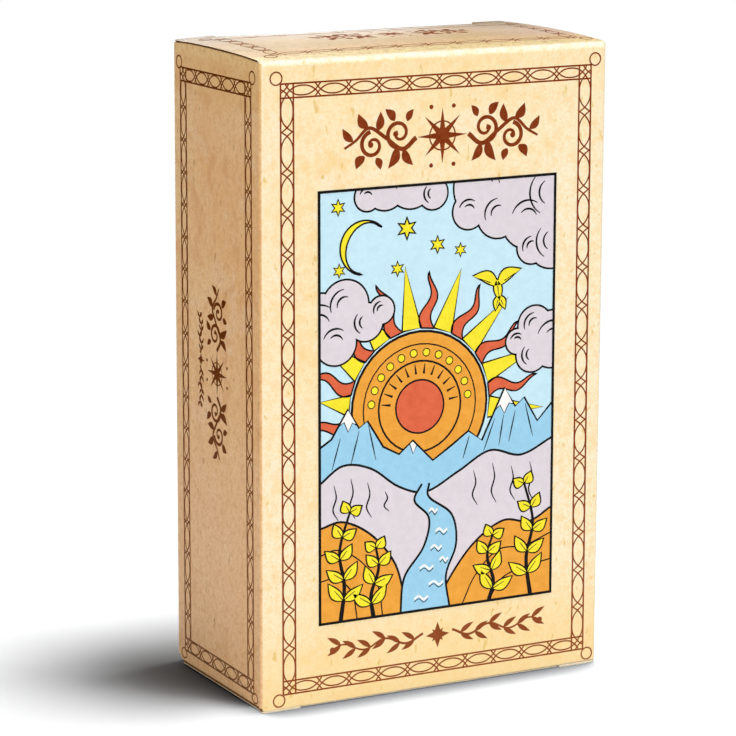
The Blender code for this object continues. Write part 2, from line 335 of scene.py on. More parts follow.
def side_foot(u):
    """Height of a side wall's lower end: the same shape upside down and turned round."""
    return HEIGHT - side_top(-u, "bottom")


def side_columns(start, stop):
    """Columns of a side wall: at the ears of both ends and along both dust flaps."""
    ears = [DUST_FRONT - NICK, DUST_FRONT + NICK, DUST_BACK - NICK, DUST_BACK + NICK, -FLAT_DEEP + EAR_SLOPE]
    inner = np.append(ears, flap_row[1:-1])
    return np.sort(np.concatenate([[start, stop], inner, -inner]))


flap_row = np.linspace(DUST_FRONT, DUST_BACK, 17)
wall("left_wall", "left_side_panel", side_print_and_shade, (-1, 0, 0), HALF_WIDTH, side_columns(-FLAT_DEEP, FLAT_DEEP),
     (True, True), lambda u: side_foot(-u), lambda u: side_top(-u))
wall("right_wall", "right_side_panel", side_print_and_shade, (1, 0, 0), HALF_WIDTH, side_columns(-FLAT_DEEP, SEAM),
     (True, False), side_foot, side_top)


def glue_end(u):
    """How far the slanted ends of the glue flap stay inside the walls' ends."""
    return np.interp(u, glue_columns[[0, -1]], GLUE_TAPER)


glue_columns = np.linspace(HALF_DEPTH - GLUE_WIDTH, FLAT_DEEP, 9)
wall("glue_seam_flap", "glue_flap", bare_inside, (1, 0, 0), GLUE_PLANE, glue_columns,
     (False, True), glue_end, lambda u: HEIGHT - glue_end(u), 9)

# The closures: at each end a lid folds over from a wide wall, its tuck flap slides in behind the
# far wall, and a dust flap folds in from each side wall under the lid. All are the same board, and
# each crease is a strip of its own. The bottom end is the top end turned half round.

LEAD = 0.00006
TUCK_FOLD = 0.00070
DUST_BOARD = {"top": 0.00024, "bottom": BOARD}
LID_HALF, LID_REAR, LID_FRONT = HALF_WIDTH - 0.00012, HALF_DEPTH - 0.0001, -HALF_DEPTH + LID_FOLD
LID_NOTCH, LID_CHAMFER = 0.0013, {"top": (0.0007, 0.0017), "bottom": (0.0005, 0.0005)}
LID_THIN, THIN_SPAN = {"top": 0.78, "bottom": 0.74}, 0.0005
RIM_SPAN, UNDER_SPAN = 0.00005, 0.0006
SLIT_GAP = 0.00038
TUCK_HALF = SLIT_OUTER - 0.0004
TUCK_PLANE = HALF_DEPTH - BOARD - 0.0010
TUCK_LINE = TUCK_PLANE - TUCK_FOLD
TUCK_TIP, TUCK_CORNER = HEIGHT - 0.0148, 0.0090
BEAD_OUT, BEAD_DOWN = 0.00095, 0.00055
DUST_TIP, DUST_CORNER = HALF_WIDTH - 0.0240, 0.0030
DUST_STEP, DUST_SLANT = SLIT_OUTER + 0.0008, 0.5
DUST_WAIST, WAIST_TAPER = TUCK_PLANE - BOARD - 0.0015, 0.0012
ROOT_POWER, ROOT_SPAN = 40, 0.0006
CROWN_EDGE, CROWN_DOME = {"top": 0.00040, "bottom": 0.0}, {"top": 0.00055, "bottom": 0.0}
SPRING_LEFT, SPRING_RIGHT = {"top": 0.0, "bottom": 0.00037}, {"top": 0.00018, "bottom": 0.00037}
TUCK_LIFT = {"top": 0.00042, "bottom": 0.0}
LIFT_END, LIFT_SPAN, LIFT_START = 0.010, 0.040, 0.0085
# The lids' print is much darker than the walls': painted shade on the top. Its washes: paler and greyer
# towards the right; darker and greyer towards the rear, painted shade and a painted reflection where the lid
# falls away; lighter and warmer towards the front crease, painted light where the lid rolls into it.
lid_print_light_and_shade = parchment(
    "parchment_lids", (215, 181, 126), (210, 173, 116), (200, 161, 104), (182, 146, 92), 0.01,
    ((0, 0.012, 0.032, 0.75, (232, 204, 188)), (1, -0.002, 0.0170, 1.0, (164, 143, 118)),
     (1, -0.004, -0.0125, 0.80, (242, 204, 150)), (1, -0.0118, -0.0162, 0.95, (255, 231, 168))))
flap_print = parchment("parchment_flaps", (248, 228, 184), (244, 218, 166), (237, 206, 148),
                       (208, 180, 112), 0.10)
# Dark brown board for the lids' ends: on the top lid, painted shade in the crack between lid and side wall.
lid_edge_shade = bare_board("board_lid_edge", (126, 78, 34), (100, 61, 26), 0.90, 0.0)
# Brown board under the bottom lid's ends: painted shade in the thin dark line between side wall and lid.
foot_edge_shade = bare_board("board_foot_edge", (158, 116, 78), (136, 98, 64), 0.90, 0.0)
# Grey-tan board for the bottom tuck's crease, which shows in the slit under the front wall: painted shade.
bead_shade = bare_board("board_scuffed_crease", (228, 206, 170), (206, 186, 152), 0.85)


def tuck_lift(end, x):
    """How far a tuck's crease stands above the lid's plane: most near the left end, none at the right."""
    fall, start = np.clip((LIFT_END - x) / LIFT_SPAN, 0, 1), np.clip((x + LID_HALF) / LIFT_START, 0, 1)
    return TUCK_LIFT[end] * fall ** 1.5 * start


def lid_height(end, x, y):
    """Height of a lid's printed face: a parabola along the depth that is taller midway across, a rise
    towards the tuck's crease, and shoulders that spring up behind it."""
    along = np.clip((y - LID_FRONT) / (TUCK_LINE - LID_FRONT), 0, 1)
    bulge = 4 * along * (1 - along) * (CROWN_EDGE[end] + CROWN_DOME[end] * (1 - (x / LID_HALF) ** 2))
    behind = np.clip((y - TUCK_LINE) / (LID_REAR - TUCK_LINE), 0, 1)
    shoulder = np.abs(x) > TUCK_HALF + SLIT_GAP + NICK
    spring = shoulder * np.where(x > 0, SPRING_RIGHT[end], SPRING_LEFT[end])
    return HEIGHT + bulge + tuck_lift(end, x) * along ** 2 + spring * behind ** 1.3


def placed(points, end):
    """Points of the top end as they are, or turned half round about the box's left-right axis."""
    return points if end == "top" else points * (1, -1, -1) + (0, 0, HEIGHT)


def sheet_under(outer, end):
    """Both faces of a flap from its outer grid: inner points lie BOARD against the grid's normal."""
    normal = np.cross(np.gradient(outer, axis=1), np.gradient(outer, axis=0))
    normal /= np.linalg.norm(normal, axis=-1, keepdims=True)
    return placed(outer, end), placed(outer - BOARD * normal, end)


def crease(radius, turns, line, along, start_dir, end_dir, ends=None, board=BOARD):
    """A quarter of a tube about a line, from start_dir to end_dir, with a short flat lead at each end,
    carried along the crease and drawn in where ends is below 1. Gives the top's outer and inner grids."""
    start_dir, end_dir = np.array(start_dir, float), np.array(end_dir, float)
    angle = np.pad(np.linspace(0, np.pi / 2, turns), 1, "edge")[:, None, None]
    lead = np.full(turns + 2, LEAD)[:, None, None]
    to_start, to_end = lead.copy(), lead.copy()
    to_end[0], to_start[-1] = 0, 0
    ray = np.cos(angle) * start_dir + np.sin(angle) * end_dir
    middle = np.array(line, float) + along + to_start * start_dir + to_end * end_dir
    shrink = 1.0 if ends is None else ends[None, :, None]
    pull = start_dir * radius * (1 - shrink) * np.cos(angle)
    return middle + (radius - LEAD) * ray - pull, middle + (radius - LEAD - board) * ray - pull


def crease_strip(name, grids, end, finish, foot, head):
    """The piece of a crease, built in place with its finish. Foot and head, the spots where it meets its
    two bodies, are worked out but not used.
    """
    strip = board_piece(name, *(placed(grid, end) for grid in grids), finish, bare_inside, cut_board)
    foot, head = (tuple(placed(np.array(spot), end)) for spot in (foot, head))
    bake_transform(strip)


def row_along(axis, values):
    """Points on a coordinate axis, as a row for a grid."""
    row = np.zeros((1, len(values), 3))
    row[0, :, axis] = values
    return row


def lid_grid(end):
    """Outer grid of a lid: columns across with a step at each slit, rows from the hinge to the tuck's
    crease or, on the shoulders, to the cut rear edge with its chamfered corner."""
    from_end = np.array([0.0040, 0.0017, 0.0007, 0.0005, 0.0002, 0])
    outer_columns = np.array([TUCK_HALF + SLIT_GAP, SLIT_OUTER, *(LID_HALF - from_end)])
    x = np.concatenate([-outer_columns[::-1], np.linspace(-TUCK_HALF, TUCK_HALF, 27), outer_columns])
    stop = np.where(np.abs(x) < SLIT_OUTER - 1e-6, TUCK_LINE, LID_REAR)
    left, right = LID_CHAMFER[end]
    stop = stop - np.clip(np.abs(x) - LID_HALF + np.where(x > 0, right, left), 0, None)
    share = np.concatenate([np.linspace(0, 0.9, 25), np.linspace(0.9, 1, 7)[1:]])[:, None]
    start = LID_FRONT + (end == "bottom") * np.clip(np.abs(x) - LID_HALF + LID_NOTCH, 0, None)
    y = start + (stop - start) * share
    x = np.broadcast_to(x, y.shape)
    return np.stack([x, y, lid_height(end, x, y)], -1)


def tuck_grid():
    """Outer grid of a tuck flap below its crease: columns across, rows up, rounded at the tip's corners."""
    rise = np.concatenate([np.linspace(0, 1, 13) ** 2 * TUCK_CORNER,
                           np.linspace(TUCK_CORNER, HEIGHT - TUCK_FOLD - TUCK_TIP, 6)[1:]])
    short = np.clip(TUCK_CORNER - rise, 0, TUCK_CORNER)
    half = TUCK_HALF - TUCK_CORNER + np.sqrt(TUCK_CORNER ** 2 - short ** 2)
    x = -half[:, None] * np.linspace(-1, 1, 21)
    z = np.broadcast_to((TUCK_TIP + rise)[:, None], x.shape)
    return np.stack([x, np.full(x.shape, TUCK_PLANE), z], -1)


def dust_grid(end):
    """Outer grid of the right dust flap: columns from tip to root, rows from its slanted front edge to the
    rear edge, which steps in past the lid's shoulder. The tip is rounded and the root bows up."""
    root = HALF_WIDTH - DUST_FOLD[end]
    x = np.concatenate([
        DUST_TIP + DUST_CORNER * np.linspace(0, 1, 9) ** 2,
        np.linspace(DUST_TIP + DUST_CORNER, SLIT_OUTER, 9)[1:], [DUST_STEP],
        np.linspace(DUST_STEP, root, 4)[1:-1], root - np.array([0.0009, 0.0005, 0.0002, 0])])
    near = DUST_FRONT + DUST_SLANT * (root - x)
    far = np.interp(x, [DUST_TIP, SLIT_OUTER, DUST_STEP], [DUST_WAIST - WAIST_TAPER, DUST_WAIST, DUST_BACK])
    short = np.clip(DUST_CORNER - (x - DUST_TIP), 0, DUST_CORNER)
    cut = DUST_CORNER - np.sqrt(DUST_CORNER ** 2 - short ** 2)
    y = (near + cut) + (far - near - 2 * cut) * np.linspace(0, 1, 17)[:, None]
    x = np.broadcast_to(x, y.shape)
    bow = swell(end, y) * np.clip((x - SLIT_OUTER) / (root - SLIT_OUTER), 0, 1) ** ROOT_POWER
    return np.stack([x, y, DUST_PLANE + bow], -1)


board_finishes = (flap_print, bare_inside, cut_board)
for end in ("top", "bottom"):
    # A lid thins at its left and right ends. A strip beneath them is dark, and so are the top's cut ends:
    # painted shade in the slits between the lids and the side walls.
    level = lid_grid(end)
    outer, inner = sheet_under(level, end)
    near_end = np.clip((np.abs(level[..., :1]) - LID_HALF) / THIN_SPAN + 1, 0, 1)
    inner += (outer - inner) * LID_THIN[end] * near_end
    edge_shade_finish = lid_edge_shade if end == "top" else foot_edge_shade
    lid = board_piece(f"{end}_lid_panel", outer, inner, lid_print_light_and_shade, bare_inside, cut_board, edge_shade_finish)
    polygons = lid.data.polygons
    middles, kinds = np.empty(3 * len(polygons)), np.empty(len(polygons), np.int32)
    polygons.foreach_get("center", middles)
    polygons.foreach_get("material_index", kinds)
    to_end = LID_HALF - np.abs(middles[::3])
    kinds[(kinds == 2) & (to_end < RIM_SPAN) & (end == "top")] = 3
    kinds[(kinds == 1) & (to_end < UNDER_SPAN)] = 3
    polygons.foreach_set("material_index", kinds)
    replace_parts(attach(lid, f"{end}_lid"), f"{end}_lid")
    tuck = board_piece(f"{end}_tuck_panel", *sheet_under(tuck_grid(), end), *board_finishes)
    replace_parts(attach(tuck, f"{end}_tuck"), f"{end}_tuck_flap")
    right_flap = dust_grid(end)
    left_flap = right_flap[:, ::-1] * (-1, 1, 1)
    for side, flap in (("left", left_flap), ("right", right_flap)):
        outer, inner = sheet_under(flap, end)
        to_root = np.clip((np.abs(flap[..., :1]) - HALF_WIDTH + DUST_FOLD[end]) / ROOT_SPAN + 1, 0, 1)
        inner += (outer - inner) * (1 - DUST_BOARD[end] / BOARD) * to_root
        dust = board_piece(f"{end}_{side}_dust_panel", outer, inner, *board_finishes)
        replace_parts(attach(dust, f"{end}_{side}_dust"), f"{end}_{side}_dust_flap")

    across = np.concatenate([
        -np.linspace(LID_HALF, FLAT_WIDE, 7)[:-1], np.linspace(-FLAT_WIDE, FLAT_WIDE, 17),
        np.linspace(FLAT_WIDE, LID_HALF, 7)[1:]])
    across = across if end == "top" else across * (LID_HALF - LID_NOTCH) / LID_HALF
    corner = np.sqrt(1 - np.clip((np.abs(across) - FLAT_WIDE) / FOLD, 0, 1) ** 2)
    grids = crease(LID_FOLD, 13, (0, LID_FRONT, HEIGHT - LID_FOLD), row_along(0, across),
                   (0, -1, 0), (0, 0, 1), corner)
    crease_strip(f"{end}_lid_crease", grids, end, wide_print_and_highlight,
                 (0, -HALF_DEPTH, HEIGHT - LID_FOLD), (0, LID_FRONT, HEIGHT))

    across = np.linspace(TUCK_HALF, -TUCK_HALF, 21)
    grids = crease(TUCK_FOLD, 11, (0, TUCK_LINE, HEIGHT - TUCK_FOLD), row_along(0, across),
                   (0, 1, 0), (0, 0, 1))
    bead = np.pad(np.sin(np.linspace(0, np.pi, 11)), 1)[:, None] * (end == "bottom")
    for grid in grids:
        grid[..., 2] += tuck_lift(end, across) * np.linspace(0, 1, len(grid))[:, None] + BEAD_DOWN * bead
        grid[..., 1] += BEAD_OUT * bead
    crease_strip(f"{end}_tuck_crease", grids, end, lid_print_light_and_shade if end == "top" else bead_shade,
                 (0, TUCK_LINE, HEIGHT), (0, TUCK_PLANE, HEIGHT - TUCK_FOLD))

    radius = DUST_FOLD[end]
    for side, sign in (("left", -1), ("right", 1)):
        root = sign * (HALF_WIDTH - radius)
        grids = crease(radius, 9, (root, 0, DUST_PLANE - radius), row_along(1, flap_row[::sign]),
                       (sign, 0, 0), (0, 0, 1), board=DUST_BOARD[end])
        for grid in grids:
            grid[..., 2] += swell(end, grid[..., 1])
        crease_strip(f"{end}_{side}_dust_crease", grids, end, side_print_and_shade,
                     (sign * HALF_WIDTH, 0, DUST_PLANE - radius), (root, 0, DUST_PLANE))

# The print: every line and patch of colour is a film of ink on the varnished board, a few
# hundredths of a millimetre proud. All six faces carry a border of two rules with a chain of loops
# between them, and brown leaf ornaments; the front also has a framed landscape in flat colours.

INK_STEP, INK_SINK = 0.004, 0.02
RULE, LOOP_PEN = 0.33, 0.28
ROUND = np.linspace(0, 2 * np.pi, 41)[:-1]
Mark = namedtuple("Mark", "kind shape width level closed")


def line(path, width, level=1, closed=False):
    """A mark drawn with a pen: its path in millimetres, its width, and how many films of ink up it lies."""
    width = np.broadcast_to(width, len(path)).astype(float)
    return Mark("line", np.asarray(path, float), width, level, closed)


def patch(outline, level=1):
    """A mark filled in: its outline in millimetres, turned counter-clockwise, without repeated points."""
    outline = np.asarray(outline, float)
    outline = outline[np.linalg.norm(outline - np.roll(outline, 1, 0), axis=1) > 1e-4]
    ahead = np.roll(outline, -1, 0)
    area = (outline[:, 0] * ahead[:, 1] - outline[:, 1] * ahead[:, 0]).sum()
    return Mark("patch", outline if area > 0 else outline[::-1], None, level, True)


def rays(angle):
    """Unit steps in the directions of angles."""
    return np.stack([np.cos(angle), np.sin(angle)], -1)


def left_of(way):
    """Steps turned a quarter to the left."""
    return np.stack([-way[..., 1], way[..., 0]], -1)


def spin(turn, scale=1.0):
    """The matrix that turns points, given as rows, counter-clockwise by degrees and scales them."""
    c, s = rays(np.radians(turn)) * scale
    return np.array([[c, s], [-s, c]])


def moved(marks, centre, turn=0.0, scale=1.0):
    """Marks scaled, turned counter-clockwise by degrees and then carried to a centre."""
    return [mark._replace(shape=mark.shape @ spin(turn, scale) + centre,
                          width=None if mark.width is None else mark.width * scale) for mark in marks]


def ink_film(mark):
    """Points and faces of one mark as a closed film. A line is a four-cornered section carried along its
    path, half its width to each side; a patch is its outline at the sunk foot and again at its level."""
    shape, closed, count = mark.shape, mark.closed, len(mark.shape)
    foot, head = -INK_SINK, mark.level * INK_STEP
    if mark.kind == "patch":
        points = np.concatenate([np.column_stack([shape, np.full(count, top)]) for top in (foot, head)])
        here = np.arange(count)
        ahead = np.roll(here, -1)
        sides = np.column_stack([here, ahead, ahead + count, here + count])
        return points, [tuple(here[::-1]), tuple(here + count), *map(tuple, sides)]
    run = np.roll(shape, -1, 0) - np.roll(shape, 1, 0) if closed else np.gradient(shape, axis=0)
    run /= np.linalg.norm(run, axis=1, keepdims=True)
    aside = left_of(run) * mark.width[:, None] / 2
    right, left = shape - aside, shape + aside
    section = [np.column_stack([edge, np.full(count, top)])
               for edge, top in ((right, foot), (right, head), (left, head), (left, foot))]
    points = np.stack(section, 1).reshape(-1, 3)
    corner = np.arange(count * 4).reshape(count, 4)
    start, stop = (corner, np.roll(corner, -1, 0)) if closed else (corner[:-1], corner[1:])
    sides = np.stack([start, stop, np.roll(stop, -1, 1), np.roll(start, -1, 1)], -1).reshape(-1, 4)
    faces = list(map(tuple, sides))
    return points, faces if closed else faces + [tuple(corner[0]), tuple(corner[-1][::-1])]


def ink_piece(name, marks, face, finish, body):
    """All marks of one ink on one face as one piece, laid on by the face's function of (u, v, height)."""
    points, faces, count = [], [], 0
    for film, cells in map(ink_film, marks):
        points.append(film)
        faces += [tuple(int(corner) + count for corner in cell) for cell in cells]
        count += len(film)
    piece = add_piece(name, face(np.concatenate(points) / 1000), faces, (finish,))
    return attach(piece, body)


def wall_face(outward, plane, half):
    """A wall's printed face as a function of (u, v, height): u to the right and v up, seen from outside.
    Past the flat, whose half-width is given, the rest of u runs round the upright crease as an arc."""
    outward = np.array(outward, float)
    across = np.cross((0, 0, 1), outward)

    def laid(spot):
        u, v, height = spot.T[:, :, None]
        past = np.sign(u) * np.clip(np.abs(u) - half, 0, None) / FOLD
        reach = np.clip(u, -half, half) + (FOLD + height) * np.sin(past)
        return reach * across + v * (0, 0, 1) + (plane - FOLD + (FOLD + height) * np.cos(past)) * outward
    return laid


def lid_face(end):
    """A lid's printed face as a function of (u, v, height), following the lid's own curve."""
    def laid(spot):
        top = lid_height(end, spot[:, 0], spot[:, 1]) + spot[:, 2]
        return placed(np.column_stack([spot[:, :2], top]), end)
    return laid


def ink(name, colour, vary=10, gloss=0.4, tone_shift=()):
    """Printing ink: its colour with a faint uneven lay-down between two tones, satin under the varnish, and
    turned towards another colour, by a share, over a span of one axis."""
    finish = bpy.data.materials.new(name)
    tree = emptied(finish)
    light, dark = (np.clip(np.array(colour) + step, 0, 255) for step in (vary * 0.5, -vary))
    shown = mottled(tree, light, ((700, 4, 0.7), 0.3, 0.7, 1.0, dark))
    shaded(tree, Base_Color=washed(tree, shown, tone_shift), Roughness=0.4, Specular_IOR_Level=gloss)
    return finish


def ring(centre, radius, width, level=1):
    """A closed circle."""
    return line(rays(ROUND) * radius + centre, width, level, True)


def disc(centre, radius, level=1):
    """A filled circle."""
    return patch(rays(ROUND) * radius + centre, level)


def star(centre, outer, inner, points, turn=90.0, level=1):
    """A filled star: corners at two radii by turns."""
    corner = np.arange(2 * points)
    radius = np.where(corner % 2, inner, outer)
    return patch(rays(np.radians(turn) + corner * np.pi / points) * radius[:, None] + centre, level)


def curve(knots, steps=8):
    """A smooth path through knots: a cubic on each span, its slopes half the step between neighbours."""
    knots = np.asarray(knots, float)
    slope = np.gradient(knots, axis=0)
    t = np.linspace(0, 1, steps, endpoint=False)[None, :, None]
    a, b, da, db = knots[:-1, None], knots[1:, None], slope[:-1, None], slope[1:, None]
    span = (a * (1 + 2 * t) * (1 - t) ** 2 + da * t * (1 - t) ** 2
            + b * t ** 2 * (3 - 2 * t) + db * t ** 2 * (t - 1))
    return np.concatenate([span.reshape(-1, 2), knots[-1:]])


def leaf(root, tip, width, bend=0.0, level=1):
    """A filled leaf from root to tip: half its width times a skewed sine to each side of a bowed midrib."""
    root, tip = np.array(root, float), np.array(tip, float)
    t = np.linspace(0, 1, 13)[:, None]
    along = tip - root
    aside = left_of(along) / np.linalg.norm(along)
    rib = root + along * t + aside * bend * np.sin(np.pi * t)
    half = width / 2 * np.sin(np.pi * t ** 0.8) * aside
    return patch(np.concatenate([rib + half, (rib - half)[-2:0:-1]]), level)


def scroll(centre, radius, start, turns, width, level=1):
    """A spiral line that closes in from radius to about a sixth of it, by turns from start, and thins."""
    t = np.linspace(0, 1, 45)
    path = rays(np.radians(start) + 2 * np.pi * turns * t) * (radius * (1 - 0.83 * t))[:, None] + centre
    return line(path, width * (1 - 0.45 * t), level)


def chain(start, end, half, count, fill, spread, power):
    """A chain of loops along a band: each loop is two mirrored arcs that leave the middle of the band's side
    at fill of its half-width and cross to the far side just past the loop's end, as distance to a power.
    Half a band's width is left free at both ends. Also gives how far off the middle the arcs are there, in
    band widths."""
    start, end = np.array(start, float), np.array(end, float)
    length = np.linalg.norm(end - start)
    along = (end - start) / length
    pitch = length / count
    reach = pitch / 2 + spread
    arcs = []
    for loop in range(count):
        middle = (loop + 0.5) * pitch
        t = np.linspace(max(half, middle - reach), min(length - half, middle + reach), 29)
        off = half * (-fill + (1 + fill) * (np.abs(t - middle) / reach) ** power)
        for side in (1, -1):
            path = start + t[:, None] * along + side * off[:, None] * left_of(along)
            arcs.append(line(path, LOOP_PEN, 2 + 2 * (loop % 2) + (side < 0)))
    return arcs, 0.5 * (fill - (1 + fill) * ((pitch / 2 - half) / reach) ** power)


def border(low, high, band, across, up, knob):
    """A frame: an outer and an inner rule run through to the outer edge, chains of loops between them, a
    lattice of four lines that carries the loops round each corner, and a small ring at each corner."""
    (u0, v0), (u1, v1) = low, high
    rules = []
    for u in (u0, u0 + band, u1 - band, u1):
        rules.append(line([(u, v0 - RULE / 2), (u, v1 + RULE / 2)], RULE, 7))
    for v in (v0, v0 + band, v1 - band, v1):
        rules.append(line([(u0 - RULE / 2, v), (u1 + RULE / 2, v)], RULE))
    h = band / 2
    for v in (v0 + h, v1 - h):
        arcs, p = chain((u0 + h, v), (u1 - h, v), h, *across)
        rules += arcs
    for u in (u0 + h, u1 - h):
        arcs, q = chain((u, v0 + h), (u, v1 - h), h, *up)
        rules += arcs
    lattice = (((1, 0.5 - p), (0.73, 0.48), (0.48, 0.73), (0.5 - q, 1)),
               ((0, 0.65), (0.23, 0.5), (0.5, 0.23), (0.65, 0)),
               ((0, 0.37), (0.23, 0.5), (0.48, 0.73), (0.5 + q, 1)),
               ((0.37, 0), (0.5, 0.23), (0.73, 0.48), (1, 0.5 + p)))
    for *corner, to_right, to_top in ((u0, v0, 1, 1), (u0, v1, 1, -1), (u1, v0, -1, 1), (u1, v1, -1, -1)):
        corner, inward = np.array(corner), np.array([to_right, to_top])
        for number, knots in enumerate(lattice):
            rules.append(line(curve(knots) * (inward * band) + corner, LOOP_PEN, 3.3 + 0.7 * number))
        rules.append(ring(corner - inward * knob, 1.2, 0.27, 8))
    return rules


def stepped(marks):
    """The same marks on films that rise one after another, so that no crossing ones lie in one plane."""
    return [mark._replace(level=1 + 0.4 * (number % 16)) for number, mark in enumerate(marks)]


def leaf_ornament():
    """A panel 42 mm long and 12 mm high: a star with a leafy, scrolling branch on each side."""
    marks = [star((0, 0), 5.4, 1.5, 8), ring((0, 0), 2.75, 0.3), disc((0, 0), 1.0)]
    marks += [disc(rays(angle) * (6.3, 6.0), 0.42) for angle in np.radians([67.5, 112.5, 247.5, 292.5])]
    for hand in (1, -1):
        flip = np.array([hand, 1.0])
        knots = np.array([(5.6, 0), (8.6, -2.0), (12.2, 0.4), (15.6, 2.4), (18.4, 0.2), (20.8, -1.2)])
        stem = curve(knots * flip)
        marks.append(line(stem, np.linspace(0.95, 0.45, len(stem))))
        for centre, radius, begin, turns in (((9.3, 1.0), 2.7, -75, 1.35), ((14.9, -0.9), 2.6, 80, -1.35)):
            begin, turns = (begin, turns) if hand > 0 else (180 - begin, -turns)
            marks.append(scroll(centre * flip, radius, begin, turns, 0.85))
        for root, tip, width, bend in (
            ((8.4, -2.0), (6.3, -5.2), 1.7, 0.4), ((9.6, -1.5), (11.6, -5.5), 1.9, -0.5),
            ((10.2, 3.4), (12.2, 5.7), 1.7, 0.3), ((13.8, 1.7), (13.2, 5.3), 1.7, 0.3),
            ((15.9, 2.3), (17.9, 5.2), 1.8, -0.4), ((16.6, -2.8), (18.4, -5.2), 1.8, 0.4),
            ((14.1, -3.3), (13.2, -5.6), 1.5, -0.2), ((19.0, 0.0), (21.2, 2.6), 1.5, -0.3),
            ((7.6, 3.2), (6.2, 5.4), 1.4, -0.2),
        ):
            marks.append(leaf(root * flip, tip * flip, width, bend * hand))
        marks += [disc((10.0 * hand, 0.9), 0.55), disc((15.3 * hand, -0.8), 0.55)]
    return stepped(marks)


def leaf_spray(length, height):
    """A narrow row: a wavy stem with paired leaves and berries towards each end of a small star."""
    marks = [star((0, 0), height * 0.52, height * 0.2, 4), star((0, 0), height * 0.34, height * 0.15, 4, 45)]
    reach = length / 2

    def wave(t):
        return np.stack([t * reach, 0.16 * height * np.sin(t * 5 * np.pi)], -1)
    for hand in (1, -1):
        flip = np.array([hand, 1.0])
        marks.append(line(wave(np.linspace(0.14, 1, 60)) * flip, np.linspace(0.5, 0.3, 60)))
        for root in wave(np.linspace(0.22, 0.92, 6)):
            for up in (1, -1):
                tip = root + (0.085 * length * 0.75, up * height * 0.36)
                marks.append(leaf(root * flip, tip * flip, height * 0.2, 0.12 * up * hand))
        marks.append(disc((reach * hand, 0), height * 0.11))
    return stepped(marks)


brown_ink = ink("ink_brown", (132, 56, 20), 12, 0.06, ((2, 0.070, 0.0, 0.45, (162, 92, 52)),))
side_ink = ink("ink_brown_sides", (116, 58, 16), 12, 0.0, ((2, 0.085, 0.005, 0.50, (152, 104, 76)),))
lid_ink = ink("ink_brown_lids", (146, 72, 38), 12, 0.0, ((1, -0.006, 0.014, 0.45, (176, 138, 112)),))
WIDE_LOOPS, TALL_LOOPS = (10, 0.68, 0.6, 2.5), (15, 0.95, 0.1, 2.8)
DEEP_LOOPS, SIDE_LOOPS = (5, 0.84, 0.5, 2.4), (18, 0.78, 0.45, 2.7)
FRONT_SKEW, FRONT_PIVOT = 0.0039, 0.061
SIDE_LEAN, LEAN_PIVOT = 0.004, 75
SIDE_SPREAD, SPREAD_PIVOT = 0.00026, 62
FOOT_SHRINK, FOOT_EDGE = 0.298, 2.2
level_front, back_face = (wall_face((0, way, 0), HALF_DEPTH, FLAT_WIDE) for way in (-1, 1))
left_face, right_face = (wall_face((way, 0, 0), HALF_WIDTH, FLAT_DEEP) for way in (-1, 1))


def front_face(spot):
    """The front wall's printed face. Its print sits a quarter of a degree askew on the board."""
    return level_front(np.column_stack([spot[:, 0] - FRONT_SKEW * (spot[:, 1] - FRONT_PIVOT), spot[:, 1:]]))


def side_skewed(mark):
    """A mark of a side's border as it was printed: leaning, spreading upwards and short at the foot."""
    u, v = mark.shape.T
    spread = v + (v - SPREAD_PIVOT) * u * SIDE_SPREAD
    up = spread + FOOT_SHRINK * np.clip(FOOT_EDGE - spread, 0, None)
    return mark._replace(shape=np.column_stack([u + (LEAN_PIVOT - v) * SIDE_LEAN, up]))


front_marks = border((-32.80, 2.75), (33.78, 119.62), 2.62, WIDE_LOOPS, TALL_LOOPS, (0.9, 1.05))
front_marks += moved(leaf_ornament(), (1.2, 108.0))
front_marks += moved(leaf_spray(46.0, 5.0), (0.7, 10.2))
ink_piece("front_brown_print", front_marks, front_face, brown_ink, "carton")

back_marks = border((-33.4, 2.8), (33.4, 119.5), 2.62, WIDE_LOOPS, TALL_LOOPS, (0.75, 1.05))
back_marks += moved(leaf_ornament(), (0, 61.15), 0, 1.25)
back_marks += moved(leaf_spray(46.0, 5.0), (0, 14.0)) + moved(leaf_spray(46.0, 5.0), (0, 108.0))
ink_piece("back_brown_print", back_marks, back_face, brown_ink, "carton")

for side, face, to_front in (("left", left_face, 15.4), ("right", right_face, 15.6)):
    marks = border((-15.6, 2.8), (to_front, 119.4), 2.6, DEEP_LOOPS, SIDE_LOOPS, (0.5, 0.95))
    marks = [side_skewed(mark) for mark in marks] + moved(leaf_ornament(), (0, 62.0), 90, 0.8)
    marks += moved(leaf_spray(18.0, 2.8), (-7.2, 63.5), 90)
    ink_piece(f"{side}_brown_print", marks, face, side_ink, "carton")

for end in ("top", "bottom"):
    marks = border((-32.0, -13.8), (34.4, 12.8), 2.65, WIDE_LOOPS, DEEP_LOOPS, (0.75, 0.8))
    marks = [mark._replace(width=mark.width * 0.8) for mark in marks]
    marks += moved(leaf_ornament(), (1.5, 2.5), 0, 0.8)
    ink_piece(f"{end}_brown_print", marks, lid_face(end), lid_ink, f"{end}_lid")

# The front picture: a framed landscape in seven flat colours with black outlines, printed on the
# front wall. A sun rises behind mountains, a river runs down to the foot, and clouds, a crescent,
# stars, a bird and leafy sprigs fill the corners. Later films cover earlier ones.

